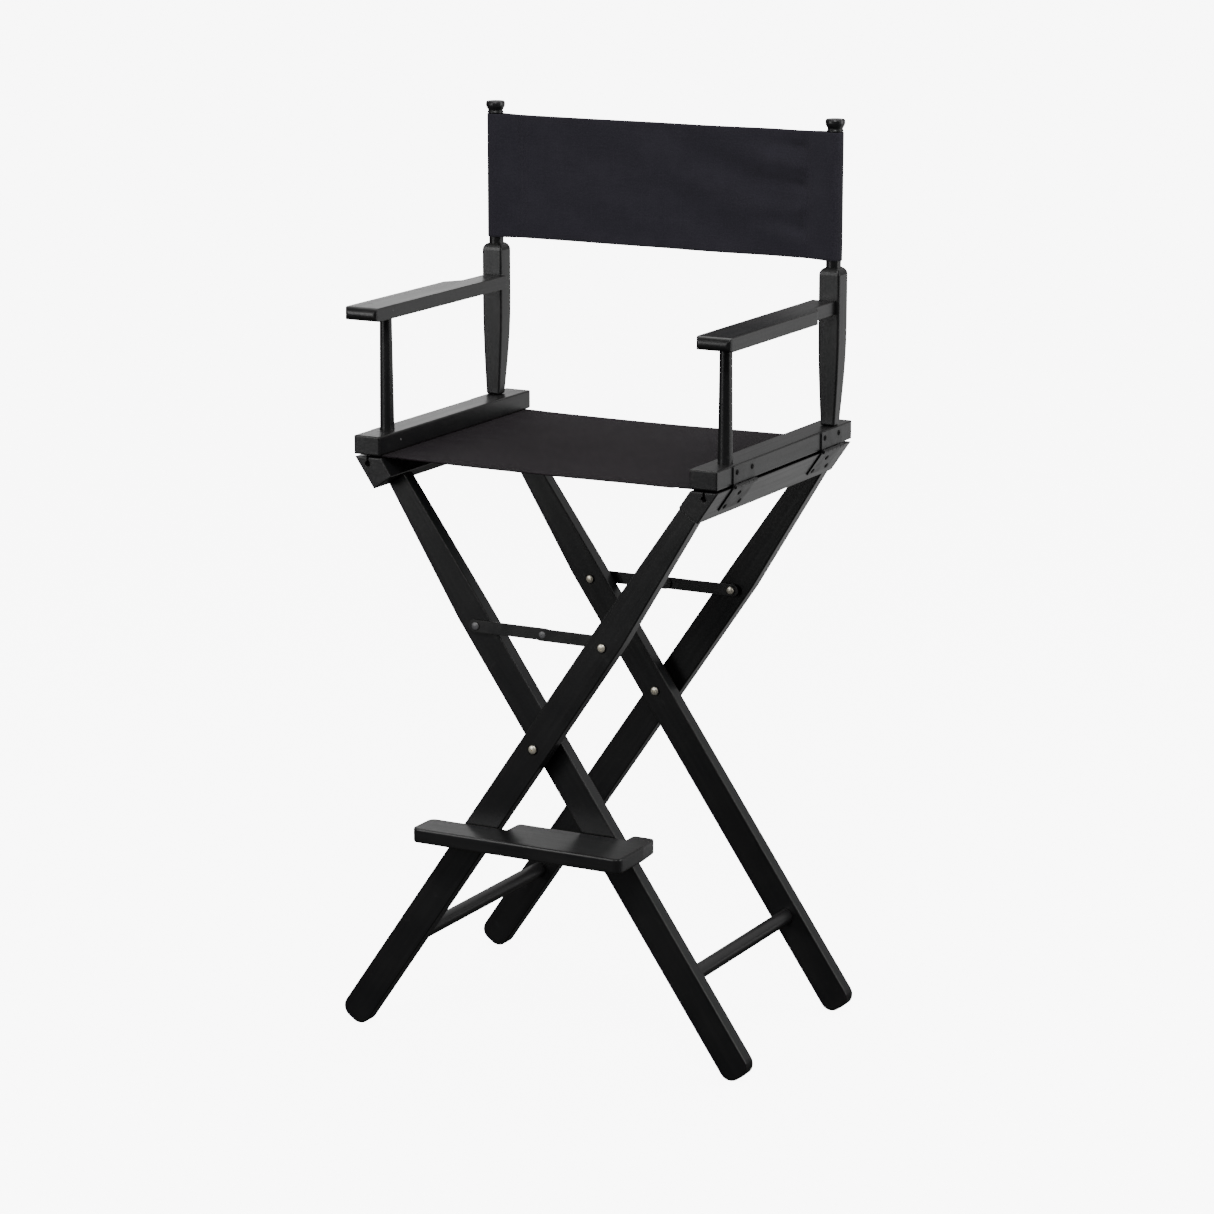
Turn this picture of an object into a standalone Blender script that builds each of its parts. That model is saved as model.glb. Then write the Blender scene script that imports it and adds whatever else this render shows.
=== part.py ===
"""Tall folding director's chair: two crossed leg frames, two hinged side frames, a sling seat and back.

The chair is modelled open. Metres, +Z up, the sitter faces -Y. The origin is on the floor, under the
middle of the chair's box. Shapes are worked out in the frame of the leg crossing (x = 0 on the crossing,
y = 0 halfway between the front and rear legs), and the whole chair is then set back by SET_BACK.
"""

from math import cos, pi, radians, sin

import bmesh
import bpy
from mathutils import Matrix, Vector

# ---- driving dimensions -------------------------------------------------------------------------
TILT = radians(34.5)  # of every leg from the vertical, chair open
PIVOT_Z = 0.399  # height of the leg crossing
LEG_WIDTH = 0.040
LEG_THICK = 0.020
LEG_TOP_OUTER = 0.009  # the leg narrows towards its top, mostly on the outer side
LEG_TOP_INNER = -0.0175
TAPER_FROM = 0.190  # distance up the leg from the crossing where it starts to narrow
FOOT_RADIUS = 0.0155
OUTER_LEG_Y = 0.180  # middle of the outer legs' thickness, in front and behind
INNER_LEG_Y = 0.148

RAIL_LENGTH = 0.380  # lower rails
RAIL_OUTER = 0.012  # the lower rail's outer and inner faces, measured across the leg
RAIL_INNER = -0.019
RAIL_BOTTOM = 0.380  # distance of its underside up the leg from the crossing
RAIL_TOP_Z = 0.745
GROOVE_X = 0.2335
GROOVE_Z = 0.7365
GROOVE_RADIUS = 0.0037
GROOVE_SLOT = 0.0026

SEAT_RAIL_X = (0.2150, 0.2520)  # upper rails, which carry the posts
SEAT_RAIL_Z = (0.748, 0.772)
SEAT_RAIL_LENGTH = 0.384
FRONT_POST_X = 0.236
FRONT_POST_Y = -0.138
FRONT_POST_RADII = (0.0093, 0.0076)  # the post tapers from its foot to its top
BACK_POST_X = 0.242
BACK_POST_FRONT_Y = 0.138
BACK_POST_DEPTH = 0.026
BACK_POST_WIDTH = 0.029
BACK_POST_TOP_Z = 0.972
BACK_POST_BASE = (0.0195, 0.0165)  # width and depth at the foot of the post
BACK_POST_TAPER_Z = 0.898
DOWEL_RADIUS = 0.0095
DOWEL_TOP_Z = 1.139
DOWEL_DEPTH = 0.0247  # how far the dowel goes down into the back post
POST_SHOULDER = 0.009  # radius of the back post's round shoulders
FINIAL_TOP_Z = 1.156

ARM_X = (0.220, 0.266)
ARM_Y = (-0.188, 0.1377)
ARM_Z = (0.914, 0.931)
ARM_NOSE = 0.0078  # radius of the arm's rounded front end, above and below
ARM_STEP = 0.0150  # the outer side steps in by this much near the back post
ARM_STEP_Y = (0.056, 0.078)
TENON = 0.012  # how far a front post goes into the seat rail
ARM_TENON = 0.009

CANVAS = 0.0012
BACK_CANVAS_Z = (0.980, 1.140)
SEAT_CANVAS_LENGTH = 0.368
ROD_RADIUS = 0.0022
SLEEVE_SEAM = 0.036  # from the dowel's middle to where the sleeve's two layers part
SLEEVE_OPENS = radians(105)  # where the flat cloth meets the sleeve, round the dowel from its outer side

HINGE_AXIS = (0.2552, 0.7465)  # x and z of the strap hinges' pins on the right side
HINGE_Y = (-0.121, 0.128)
HINGE_LENGTH = 0.059
LEAF = 0.0015
KNUCKLE_RADIUS = 0.0026
KNUCKLE_BORE = 0.0017
HINGE_PIN_RADIUS = 0.0013
KNUCKLES = 5  # of one hinge: the upper leaf has every other one, from the ends
KNUCKLE_GAP = 0.0008
LEAF_CORNER = 0.0030
LOWER_LEAF_HEIGHT = 0.0355
TAB_INSET = 0.0002  # a knuckle's tab is this much thinner and shorter than what it joins

STAY_UP = 0.170  # distance of the stay's pins up the legs from the crossing
STAY_HEIGHT = 0.0155
STAY_THICK = 0.002
STAY_END = 0.0105  # strap beyond the pin
STAY_LINK_OUT = (0.0035, 0.0065)  # the inner and outer links' middles, off the inner leg's face
RIVET_HEAD = (0.0046, 0.0016)  # radius and height of the rivet that joins the two links
PIN_EASE = 0.0004  # a pin's clearance in its hole
PINS = {  # shank radius, head radius and height of the head's dome
    "pivot bolt": (0.0040, 0.0064, 0.0024),
    "stay bolt": (0.0030, 0.0060, 0.0022),
    "stay rivet": (0.0030, 0.0050, 0.0018),
}
STAY_BOLT_SHANK = LEG_THICK + 0.0095
STAY_RIVET_SHANK = 0.0145
HEAD_RIM = 0.0008  # straight rim under a pin head's dome
SPACER_RADIUS = 0.0110
NUT_RADIUS = 0.0060  # to the corners
NUT_HEIGHT = 0.0045
NUT_CROWN = (0.0048, 0.0022)

FOOTREST_Z = (0.272, 0.291)
FOOTREST_HALF = 0.147
FOOTREST_FRONT = -0.240
FINGER_BACK = -0.138  # rear edge of the finger beside the inner leg
STRETCHER_DOWN = 0.340  # distance down the leg from the crossing
STRETCHER_RADIUS = 0.010

GAP = 0.0003  # between pieces that touch
SET_BACK = 0.02165
WOOD_EDGE = 0.0016  # eased edges of the painted wood

LEG_FRONT_FACE = OUTER_LEG_Y + LEG_THICK / 2
STAY_X = STAY_UP * sin(TILT)
STAY_Z = PIVOT_Z + STAY_UP * cos(TILT)
BACK_DOWEL_Y = BACK_POST_FRONT_Y + BACK_POST_DEPTH / 2
SEAT_EDGE_X = 0.2140  # inner top edge of the lower rails, where the seat starts to bend
CANVAS_Z = (RAIL_TOP_Z + SEAT_RAIL_Z[0]) / 2


# ---- materials ----------------------------------------------------------------------------------
def make_material(name, colour, roughness, metallic):
    material = bpy.data.materials.new(name)
    material.use_nodes = True
    shader = material.node_tree.nodes["Principled BSDF"]
    shader.inputs["Base Color"].default_value = (*colour, 1)
    shader.inputs["Roughness"].default_value = roughness
    shader.inputs["Metallic"].default_value = metallic
    material.diffuse_color = (*colour, 1)
    return material


def look(name):
    """Colour, roughness and metallic value of each kind of surface."""
    return {
        "paint": ((0.012, 0.012, 0.013), 0.42, 0.0),
        "canvas": ((0.018, 0.016, 0.019), 0.90, 0.0),
        "rod": ((0.24, 0.16, 0.09), 0.60, 0.0),
        "black_steel": ((0.016, 0.016, 0.017), 0.38, 0.7),
        "nickel": ((0.62, 0.58, 0.50), 0.28, 1.0),
    }[name]


# ---- bodies -------------------------------------------------------------------------------------
class Body:
    """An empty on a joint's axis. The pieces that move with the joint are its children."""

    def __init__(self, name, x=0.0, y=0.0, z=0.0):
        self.at = Vector((x, y, z))
        self.empty = bpy.data.objects.new(name, None)
        self.empty.empty_display_size = 0.03
        self.empty.location = self.at + Vector((0, SET_BACK, 0))
        bpy.context.collection.objects.link(self.empty)

    def hold(self, obj):
        obj.data.transform(Matrix.Translation(-self.at))
        obj.parent = self.empty


# ---- shape helpers ------------------------------------------------------------------------------
def object_from(bm, name):
    bmesh.ops.recalc_face_normals(bm, faces=bm.faces)
    mesh = bpy.data.meshes.new(name)
    bm.to_mesh(mesh)
    bm.free()
    obj = bpy.data.objects.new(name, mesh)
    bpy.context.collection.objects.link(obj)
    return obj


def prism(name, outline, along, start, end):
    """An outline of 2-D points, extruded along an axis: (y, z) along X, (x, z) along Y, (x, y) along Z."""
    bm = bmesh.new()
    axis = "XYZ".index(along)
    corners = []
    for point in outline:
        place = list(point)
        place.insert(axis, start)
        corners.append(bm.verts.new(place))
    step = Vector((0, 0, 0))
    step[axis] = end - start
    face = bm.faces.new(corners)
    made = bmesh.ops.extrude_face_region(bm, geom=[face])
    moved = [item for item in made["geom"] if isinstance(item, bmesh.types.BMVert)]
    bmesh.ops.translate(bm, verts=moved, vec=step)
    return object_from(bm, name)


def box(name, xs, ys, zs):
    outline = [(xs[0], ys[0]), (xs[1], ys[0]), (xs[1], ys[1]), (xs[0], ys[1])]
    return prism(name, outline, "Z", zs[0], zs[1])


def cylinder(name, centre, radius, length, along="Y", sides=28):
    """A closed cylinder whose middle is at centre."""
    turn = Matrix.Rotation(pi / 2, 4, "X") if along == "Y" else Matrix.Identity(4)
    bm = bmesh.new()
    bmesh.ops.create_cone(
        bm,
        cap_ends=True,
        segments=sides,
        radius1=radius,
        radius2=radius,
        depth=length,
        matrix=Matrix.Translation(centre) @ turn,
    )
    return object_from(bm, name)


def turned(name, profile, place, sides=28):
    """A profile of (radius, height) points with both ends on the axis, spun about Z and then placed."""
    bm = bmesh.new()
    points = [bm.verts.new((radius, 0, height)) for radius, height in profile]
    edges = [bm.edges.new(pair) for pair in zip(points, points[1:])]
    bmesh.ops.spin(
        bm,
        geom=points + edges,
        axis=(0, 0, 1),
        cent=(0, 0, 0),
        angle=2 * pi,
        steps=sides,
        use_merge=True,
    )
    bmesh.ops.remove_doubles(bm, verts=bm.verts, dist=1e-6)
    bm.transform(place)
    return object_from(bm, name)


def rounded(corners, radius, steps=5):
    """A closed outline with arcs in place of its convex corners. A radius may be given for each corner."""
    radii = radius if isinstance(radius, (list, tuple)) else [radius] * len(corners)
    outline = []
    for i, corner in enumerate(corners):
        here = Vector(corner)
        back = (Vector(corners[i - 1]) - here).normalized()
        ahead = (Vector(corners[(i + 1) % len(corners)]) - here).normalized()
        half = back.angle(ahead) / 2
        if radii[i] <= 0 or abs(half - pi / 2) < 1e-6:
            outline.append(tuple(here))
            continue
        centre = here + (back + ahead).normalized() * radii[i] / sin(half)
        begin = here + back * radii[i] / (sin(half) / cos(half)) - centre
        sweep = begin.angle_signed(here + ahead * radii[i] / (sin(half) / cos(half)) - centre)
        for step in range(steps + 1):
            turn = Matrix.Rotation(-sweep * step / steps, 2)
            outline.append(tuple(centre + turn @ begin))
    return outline


def ease_edges(obj, width=WOOD_EDGE, segments=2):
    bevel = obj.modifiers.new("eased edges", "BEVEL")
    bevel.width = width
    bevel.segments = segments
    bevel.limit_method = "ANGLE"
    bevel.angle_limit = radians(35)


def combine(obj, other, operation):
    """A Boolean whose second shape stays in the file as a hidden guide."""
    boolean = obj.modifiers.new(operation.lower(), "BOOLEAN")
    boolean.operation = operation
    boolean.solver = "EXACT"
    boolean.object = other
    other.hide_render = True
    other.display_type = "WIRE"
    return other


def smooth(obj):
    obj.data.shade_smooth()
    obj.data.set_sharp_from_angle(angle=radians(35))


def piece(obj, body, surface, guides=()):
    """Gives a shape its material and hangs it, with its guides, on its body."""
    colour, roughness, metallic = look(surface)
    obj.data.materials.append(make_material(obj.name, colour, roughness, metallic))
    smooth(obj)
    for item in (obj, *guides):
        body.hold(item)
    return obj


# ---- leg frames ---------------------------------------------------------------------------------
def leg_point(side, across, up):
    """(x, z) of a point of a leg whose top is on this side: across is outward, up is from the crossing."""
    x = up * sin(TILT) + across * cos(TILT)
    z = PIVOT_Z + up * cos(TILT) - across * sin(TILT)
    return side * x, z


def foot_length():
    """How far the leg reaches below the crossing, so that its rounded end just meets the floor."""
    corner = (LEG_WIDTH / 2 - FOOT_RADIUS) * sin(TILT)
    return FOOT_RADIUS + (PIVOT_Z - FOOT_RADIUS - corner) / cos(TILT)


def make_leg(name, body, side, middle_y):
    half = LEG_WIDTH / 2
    top = RAIL_BOTTOM - GAP
    corners = [
        (-half, -foot_length()),
        (half, -foot_length()),
        (half, TAPER_FROM),
        (LEG_TOP_OUTER, top),
        (LEG_TOP_INNER, top),
        (-half, TAPER_FROM),
    ]
    outline = rounded(corners, [FOOT_RADIUS, FOOT_RADIUS, 0.05, 0, 0, 0.05], 6)
    points = [leg_point(side, across, up) for across, up in outline]
    leg = prism(name, points, "Y", middle_y - LEG_THICK / 2, middle_y + LEG_THICK / 2)
    ease_edges(leg, 0.0014, 2)
    guides = []
    for up, radius in ((0, PINS["pivot bolt"][0]), (STAY_UP, PINS["stay bolt"][0])):
        x, z = leg_point(side, 0, up)
        hole = cylinder(f"{name} hole {up:.2f}", (x, middle_y, z), radius + PIN_EASE, 0.03, sides=24)
        guides.append(combine(leg, hole, "DIFFERENCE"))
    return piece(leg, body, "paint", guides)


def rail_outline(side):
    """Section of a lower rail: its sides follow the legs, and its top is level under the seat rail."""
    points = []
    for across in (RAIL_OUTER, RAIL_INNER):
        up = (RAIL_TOP_Z - PIVOT_Z + across * sin(TILT)) / cos(TILT)
        pair = [leg_point(side, across, RAIL_BOTTOM), leg_point(side, across, up)]
        points += pair if across == RAIL_OUTER else pair[::-1]
    return points


def make_lower_rail(name, body, side):
    rail = prism(name, rail_outline(side), "Y", -RAIL_LENGTH / 2, RAIL_LENGTH / 2)
    ease_edges(rail, 0.0012, 2)
    centre = (side * GROOVE_X, 0, GROOVE_Z)
    length = RAIL_LENGTH + 0.02
    bore = cylinder(f"{name} groove", centre, GROOVE_RADIUS, length, sides=20)
    xs = (side * GROOVE_X - GROOVE_SLOT / 2, side * GROOVE_X + GROOVE_SLOT / 2)
    slot = box(f"{name} slot", xs, (-length / 2, length / 2), (GROOVE_Z, RAIL_TOP_Z + 0.01))
    guides = [combine(rail, bore, "DIFFERENCE"), combine(rail, slot, "DIFFERENCE")]
    return piece(rail, body, "paint", guides)


def make_stretcher(name, body, side, leg_y):
    x, z = leg_point(side, 0, -STRETCHER_DOWN)
    length = 2 * (leg_y - LEG_THICK / 2 - GAP)
    dowel = cylinder(name, (x, 0, z), STRETCHER_RADIUS, length, sides=32)
    return piece(dowel, body, "paint")


def make_hem(name, body, side):
    """The edge of the seat cloth: down the slot to the rod, and level over the lower rail."""
    low, high = CANVAS_Z - CANVAS / 2, CANVAS_Z + CANVAS / 2
    foot = GROOVE_Z + ROD_RADIUS + 0.0004
    outline = [
        (GROOVE_X - CANVAS / 2, foot),
        (GROOVE_X + CANVAS / 2, foot),
        (GROOVE_X + CANVAS / 2, high),
        (SEAT_EDGE_X + GAP, high),
        (SEAT_EDGE_X + GAP, low),
        (GROOVE_X - CANVAS / 2, low),
    ]
    points = [(side * x, z) for x, z in outline]
    hem = prism(name, points, "Y", -SEAT_CANVAS_LENGTH / 2, SEAT_CANVAS_LENGTH / 2)
    return piece(hem, body, "canvas")


def make_rod(name, body, side):
    centre = (side * GROOVE_X, 0, GROOVE_Z)
    return piece(cylinder(name, centre, ROD_RADIUS, SEAT_CANVAS_LENGTH, sides=16), body, "rod")


# ---- strap hinges -------------------------------------------------------------------------------
def hinge_spans(middle):
    """Y ranges of the upper leaf's knuckles and of the lower leaf's, which lie between them."""
    pitch = HINGE_LENGTH / KNUCKLES
    edges = [middle - HINGE_LENGTH / 2 + k * pitch for k in range(KNUCKLES + 1)]
    spans = [(a + KNUCKLE_GAP / 2, b - KNUCKLE_GAP / 2) for a, b in zip(edges, edges[1:])]
    return spans[::2], spans[1::2]


def add_knuckles(leaf, side, spans, tab, guides):
    """Joins a curled knuckle with its tab at each span, then bores them all."""
    x, z = side * HINGE_AXIS[0], HINGE_AXIS[1]
    for number, (start, end) in enumerate(spans):
        stem = prism(f"{leaf.name} tab {number}", tab, "Y", start + TAB_INSET, end - TAB_INSET)
        centre = (x, (start + end) / 2, z)
        curl = cylinder(f"{leaf.name} curl {number}", centre, KNUCKLE_RADIUS, end - start, sides=16)
        guides.append(combine(leaf, stem, "UNION"))
        guides.append(combine(leaf, curl, "UNION"))
    middle = (x, (spans[0][0] + spans[-1][1]) / 2, z)
    bore = cylinder(f"{leaf.name} bore", middle, KNUCKLE_BORE, HINGE_LENGTH + 0.01, sides=16)
    guides.append(combine(leaf, bore, "DIFFERENCE"))


def make_upper_leaf(name, body, side, middle):
    spans, _ = hinge_spans(middle)
    near, far = SEAT_RAIL_X[1] + GAP, SEAT_RAIL_X[1] + GAP + LEAF
    xs = sorted((side * near, side * far))
    bottom = HINGE_AXIS[1] + KNUCKLE_RADIUS + 0.0004
    front, back, top = middle - HINGE_LENGTH / 2, middle + HINGE_LENGTH / 2, SEAT_RAIL_Z[1] - 0.0008
    corners = [(front, bottom), (back, bottom), (back, top), (front, top)]
    leaf = prism(name, rounded(corners, [0, 0, LEAF_CORNER, LEAF_CORNER], 4), "X", *xs)
    tab_xs = (xs[0] + TAB_INSET, xs[1] - TAB_INSET)
    low, high = HINGE_AXIS[1] + 0.001, bottom + 0.001
    tab = [(tab_xs[0], low), (tab_xs[1], low), (tab_xs[1], high), (tab_xs[0], high)]
    guides = []
    add_knuckles(leaf, side, spans, tab, guides)
    return piece(leaf, body, "black_steel", guides)


def make_lower_leaf(name, body, side, middle):
    _, spans = hinge_spans(middle)
    near, far = RAIL_OUTER + GAP, RAIL_OUTER + GAP + LEAF
    drop = (HINGE_AXIS[0] * sin(TILT) + (HINGE_AXIS[1] - PIVOT_Z) * cos(TILT)) - KNUCKLE_RADIUS
    high, low = drop - 0.0004, drop - LOWER_LEAF_HEIGHT
    plate = [leg_point(side, w, u) for w, u in ((near, low), (far, low), (far, high), (near, high))]
    ys = (middle - HINGE_LENGTH / 2, middle + HINGE_LENGTH / 2)
    leaf = prism(name, plate, "Y", *ys)
    ups = (high - 0.001, drop + KNUCKLE_RADIUS - 0.001)
    inner, outer = near + TAB_INSET, far - TAB_INSET
    corners = ((inner, ups[0]), (outer, ups[0]), (outer, ups[1]), (inner, ups[1]))
    tab = [leg_point(side, w, u) for w, u in corners]
    guides = []
    add_knuckles(leaf, side, spans, tab, guides)
    return piece(leaf, body, "black_steel", guides)


def make_hinge_pin(name, body, side, middle):
    centre = (side * HINGE_AXIS[0], middle, HINGE_AXIS[1])
    pin = cylinder(name, centre, HINGE_PIN_RADIUS, HINGE_LENGTH - 0.001, sides=16)
    return piece(pin, body, "black_steel")


# ---- side frames --------------------------------------------------------------------------------
def mirrored(outline, side):
    return [(side * x, y) for x, y in outline]


def make_seat_rail(name, body, side):
    xs = sorted((side * SEAT_RAIL_X[0], side * SEAT_RAIL_X[1]))
    half = SEAT_RAIL_LENGTH / 2
    rail = box(name, xs, (-half, half), SEAT_RAIL_Z)
    ease_edges(rail)
    top = SEAT_RAIL_Z[1]
    socket = cylinder(
        f"{name} socket",
        (side * FRONT_POST_X, FRONT_POST_Y, top),
        FRONT_POST_RADII[0] + GAP,
        2 * (TENON + GAP),
        "Z",
        32,
    )
    return piece(rail, body, "paint", [combine(rail, socket, "DIFFERENCE")])


def make_front_post(name, body, side):
    low, high = SEAT_RAIL_Z[1] - TENON, ARM_Z[0] + ARM_TENON
    foot, tip = FRONT_POST_RADII
    profile = [(0, 0), (foot, 0), (tip, high - low), (0, high - low)]
    place = Matrix.Translation((side * FRONT_POST_X, FRONT_POST_Y, low))
    return piece(turned(name, profile, place, 32), body, "paint")


def make_armrest(name, body, side):
    inner, outer = ARM_X
    front, back = ARM_Y
    corners = [
        (inner, front),
        (outer, front),
        (outer, ARM_STEP_Y[0]),
        (outer - ARM_STEP, ARM_STEP_Y[1]),
        (outer - ARM_STEP, back),
        (inner, back),
    ]
    outline = rounded(corners, [0.0045, 0.0060, 0.006, 0, 0, 0], 5)
    arm = prism(name, mirrored(outline, side), "Z", *ARM_Z)
    low, high = ARM_Z
    section = [(front, low), (back + 0.01, low), (back + 0.01, high), (front, high)]
    section = rounded(section, [ARM_NOSE, 0, 0, ARM_NOSE], 6)
    xs = sorted((side * (inner - 0.01), side * (outer + 0.01)))
    nose = prism(f"{name} nose", section, "X", *xs)
    guides = [combine(arm, nose, "INTERSECT")]
    ease_edges(arm)
    socket = cylinder(
        f"{name} socket",
        (side * FRONT_POST_X, FRONT_POST_Y, ARM_Z[0]),
        FRONT_POST_RADII[1] + GAP,
        2 * (ARM_TENON + GAP),
        "Z",
        32,
    )
    guides.append(combine(arm, socket, "DIFFERENCE"))
    return piece(arm, body, "paint", guides)


def post_section(share):
    """Half width, front y and back y of the back post. The share is 0 at its foot and 1 above the taper."""
    half = (BACK_POST_BASE[0] + (BACK_POST_WIDTH - BACK_POST_BASE[0]) * share) / 2
    depth = BACK_POST_BASE[1] + (BACK_POST_DEPTH - BACK_POST_BASE[1]) * share
    return half, BACK_POST_FRONT_Y, BACK_POST_FRONT_Y + depth


def make_back_post(name, body, side):
    """A square post that narrows below the arm, lofted through level rectangles, with round shoulders."""
    base = SEAT_RAIL_Z[1] + GAP
    sections = [(base, *post_section(0))]
    steps = 6
    for step in range(1, steps + 1):
        share = step / steps
        height = base + (BACK_POST_TAPER_Z - base) * share
        sections.append((height, *post_section(sin(share * pi / 2))))
    half, front, back = post_section(1)
    turns = 4
    for step in range(turns + 1):
        angle = step / turns * pi / 2
        pull = POST_SHOULDER * (1 - cos(angle))
        height = BACK_POST_TOP_Z - POST_SHOULDER * (1 - sin(angle))
        deep = pull * 0.55
        sections.append((height, half - pull, front + deep, back - deep))
    bm = bmesh.new()
    rings = []
    for height, half, front, back in sections:
        corners = ((-half, front), (half, front), (half, back), (-half, back))
        rings.append([bm.verts.new((side * BACK_POST_X + x, y, height)) for x, y in corners])
    for low, high in zip(rings, rings[1:]):
        for i in range(4):
            j = (i + 1) % 4
            bm.faces.new((low[i], low[j], high[j], high[i]))
    bm.faces.new(rings[0][::-1])
    bm.faces.new(rings[-1])
    post = object_from(bm, name)
    ease_edges(post, 0.0024, 3)
    centre = (side * BACK_POST_X, BACK_DOWEL_Y, BACK_POST_TOP_Z)
    socket = cylinder(f"{name} socket", centre, DOWEL_RADIUS + GAP, 2 * (DOWEL_DEPTH + GAP), "Z", 32)
    return piece(post, body, "paint", [combine(post, socket, "DIFFERENCE")])


def make_dowel(name, body, side):
    low = BACK_POST_TOP_Z - DOWEL_DEPTH
    centre = (side * BACK_POST_X, BACK_DOWEL_Y, (low + DOWEL_TOP_Z) / 2)
    return piece(cylinder(name, centre, DOWEL_RADIUS, DOWEL_TOP_Z - low, "Z", 32), body, "paint")


def make_finial(name, body, side):
    """A turned knob: a foot on the dowel, a waist, a full round cup and a shallow dished top."""
    height = FINIAL_TOP_Z - DOWEL_TOP_Z - GAP
    profile = [(0, 0), (0.0088, 0), (0.0093, 0.0005), (0.0093, 0.0012), (0.0105, 0.0017), (0.0104, 0.0027)]
    profile += [(0.0096, 0.0041), (0.0098, 0.0056), (0.0110, 0.0076), (0.0120, 0.0096), (0.0125, 0.0118)]
    profile += [(0.0124, height - 0.0022), (0.0119, height - 0.0006), (0.0109, height)]
    profile += [(0.0099, height - 0.0004), (0.0086, height - 0.0014), (0, height - 0.0020)]
    place = Matrix.Translation((side * BACK_POST_X, BACK_DOWEL_Y, DOWEL_TOP_Z + GAP))
    return piece(turned(name, profile, place, 24), body, "paint")


# ---- cloth, as plain closed solids --------------------------------------------------------------
def make_seat_half(name, body, side):
    xs = sorted((side * GAP, side * SEAT_EDGE_X))
    ys = (-SEAT_CANVAS_LENGTH / 2, SEAT_CANVAS_LENGTH / 2)
    zs = (CANVAS_Z - CANVAS / 2, CANVAS_Z + CANVAS / 2)
    return piece(box(name, xs, ys, zs), body, "canvas")


def make_back_half(name, body, side):
    """Half of the back cloth, with the sleeve that slides over the dowel."""
    ring = DOWEL_RADIUS + GAP + CANVAS
    outline = [(0, -CANVAS / 2), (BACK_POST_X - SLEEVE_SEAM, -CANVAS / 2)]
    steps = 18
    for step in range(steps + 1):
        angle = SLEEVE_OPENS * (2 * step / steps - 1)
        outline.append((BACK_POST_X + ring * cos(angle), ring * sin(angle)))
    outline += [(BACK_POST_X - SLEEVE_SEAM, CANVAS / 2), (0, CANVAS / 2)]
    points = [(side * (x + GAP * (x == 0)), BACK_DOWEL_Y + y) for x, y in outline]
    half = prism(name, points, "Z", *BACK_CANVAS_Z)
    centre = (side * BACK_POST_X, BACK_DOWEL_Y, sum(BACK_CANVAS_Z) / 2)
    bore = cylinder(f"{name} sleeve", centre, DOWEL_RADIUS + GAP, 0.2, "Z", 32)
    return piece(half, body, "canvas", [combine(half, bore, "DIFFERENCE")])


# ---- folding stays, pivots and footrest ---------------------------------------------------------
def make_stay_link(name, body, side, middle_y, head_side):
    """Half of a folding stay: from its leg's pin to just past the middle, where its rivet head is."""
    half = STAY_HEIGHT / 2
    left, right = -STAY_END, STAY_X + STAY_END
    corners = [(left, -half), (right, -half), (right, half), (left, half)]
    outline = [(side * x, STAY_Z + z) for x, z in rounded(corners, half * 0.98, 7)]
    ys = (middle_y - STAY_THICK / 2, middle_y + STAY_THICK / 2)
    link = prism(name, outline, "Y", *ys)
    eye = PINS["stay bolt"][0] + PIN_EASE
    hole = cylinder(f"{name} eye", (side * STAY_X, middle_y, STAY_Z), eye, 0.01, sides=24)
    head_y = middle_y + head_side * (STAY_THICK / 2 - GAP)
    head = rivet_head(f"{name} rivet", along_y(0, head_y, STAY_Z, head_side))
    guides = [combine(link, hole, "DIFFERENCE"), combine(link, head, "UNION")]
    return piece(link, body, "black_steel", guides)


def along_y(x, y, z, facing):
    """Turns a shape made about +Z so that +Z points along Y towards facing (-1 front, +1 rear)."""
    return Matrix.Translation((x, y, z)) @ Matrix.Rotation(-facing * pi / 2, 4, "X")


def dome(radius, height, steps=3):
    """Profile of a low dome, from its rim to its top."""
    angles = [step / steps * pi / 2 for step in range(steps + 1)]
    return [(radius * cos(a), height * sin(a)) for a in angles[:-1]] + [(0, height)]


def rivet_head(name, place):
    """A low dome whose foot sinks a little into its strap."""
    radius, height = RIVET_HEAD
    return turned(name, [(0, -0.0004), (radius, -0.0004)] + dome(radius, height), place, 20)


def make_pin(name, body, surface, kind, place, shank):
    """A headed pin. Its place brings its axis along Y, with the underside of its head on what it holds."""
    radius, head_radius, head_height = PINS[kind]
    chamfer = 0.0004
    profile = [(0, -shank), (radius - chamfer, -shank), (radius, chamfer - shank), (radius, GAP)]
    profile += [(head_radius, GAP)]
    profile += [(r, h + GAP + HEAD_RIM) for r, h in dome(head_radius, head_height)]
    return piece(turned(name, profile, place, 20), body, surface)


def make_spacer(name, body, y):
    gap = OUTER_LEG_Y - INNER_LEG_Y - LEG_THICK - 2 * GAP
    spacer = cylinder(name, (0, y, PIVOT_Z), SPACER_RADIUS, gap, sides=32)
    bore = PINS["pivot bolt"][0] + PIN_EASE
    hole = cylinder(f"{name} hole", (0, y, PIVOT_Z), bore, 0.03, sides=24)
    return piece(spacer, body, "black_steel", [combine(spacer, hole, "DIFFERENCE")])


def make_nut(name, body, y):
    """A cap nut behind the leg, past the end of a crossing bolt."""
    foot = 0.0004
    profile = [(0, foot), (NUT_RADIUS, foot), (NUT_RADIUS, NUT_HEIGHT)]
    profile += [(r, h + NUT_HEIGHT) for r, h in dome(*NUT_CROWN)]
    return piece(turned(name, profile, along_y(0, y, PIVOT_Z, 1), 6), body, "nickel")


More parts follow.
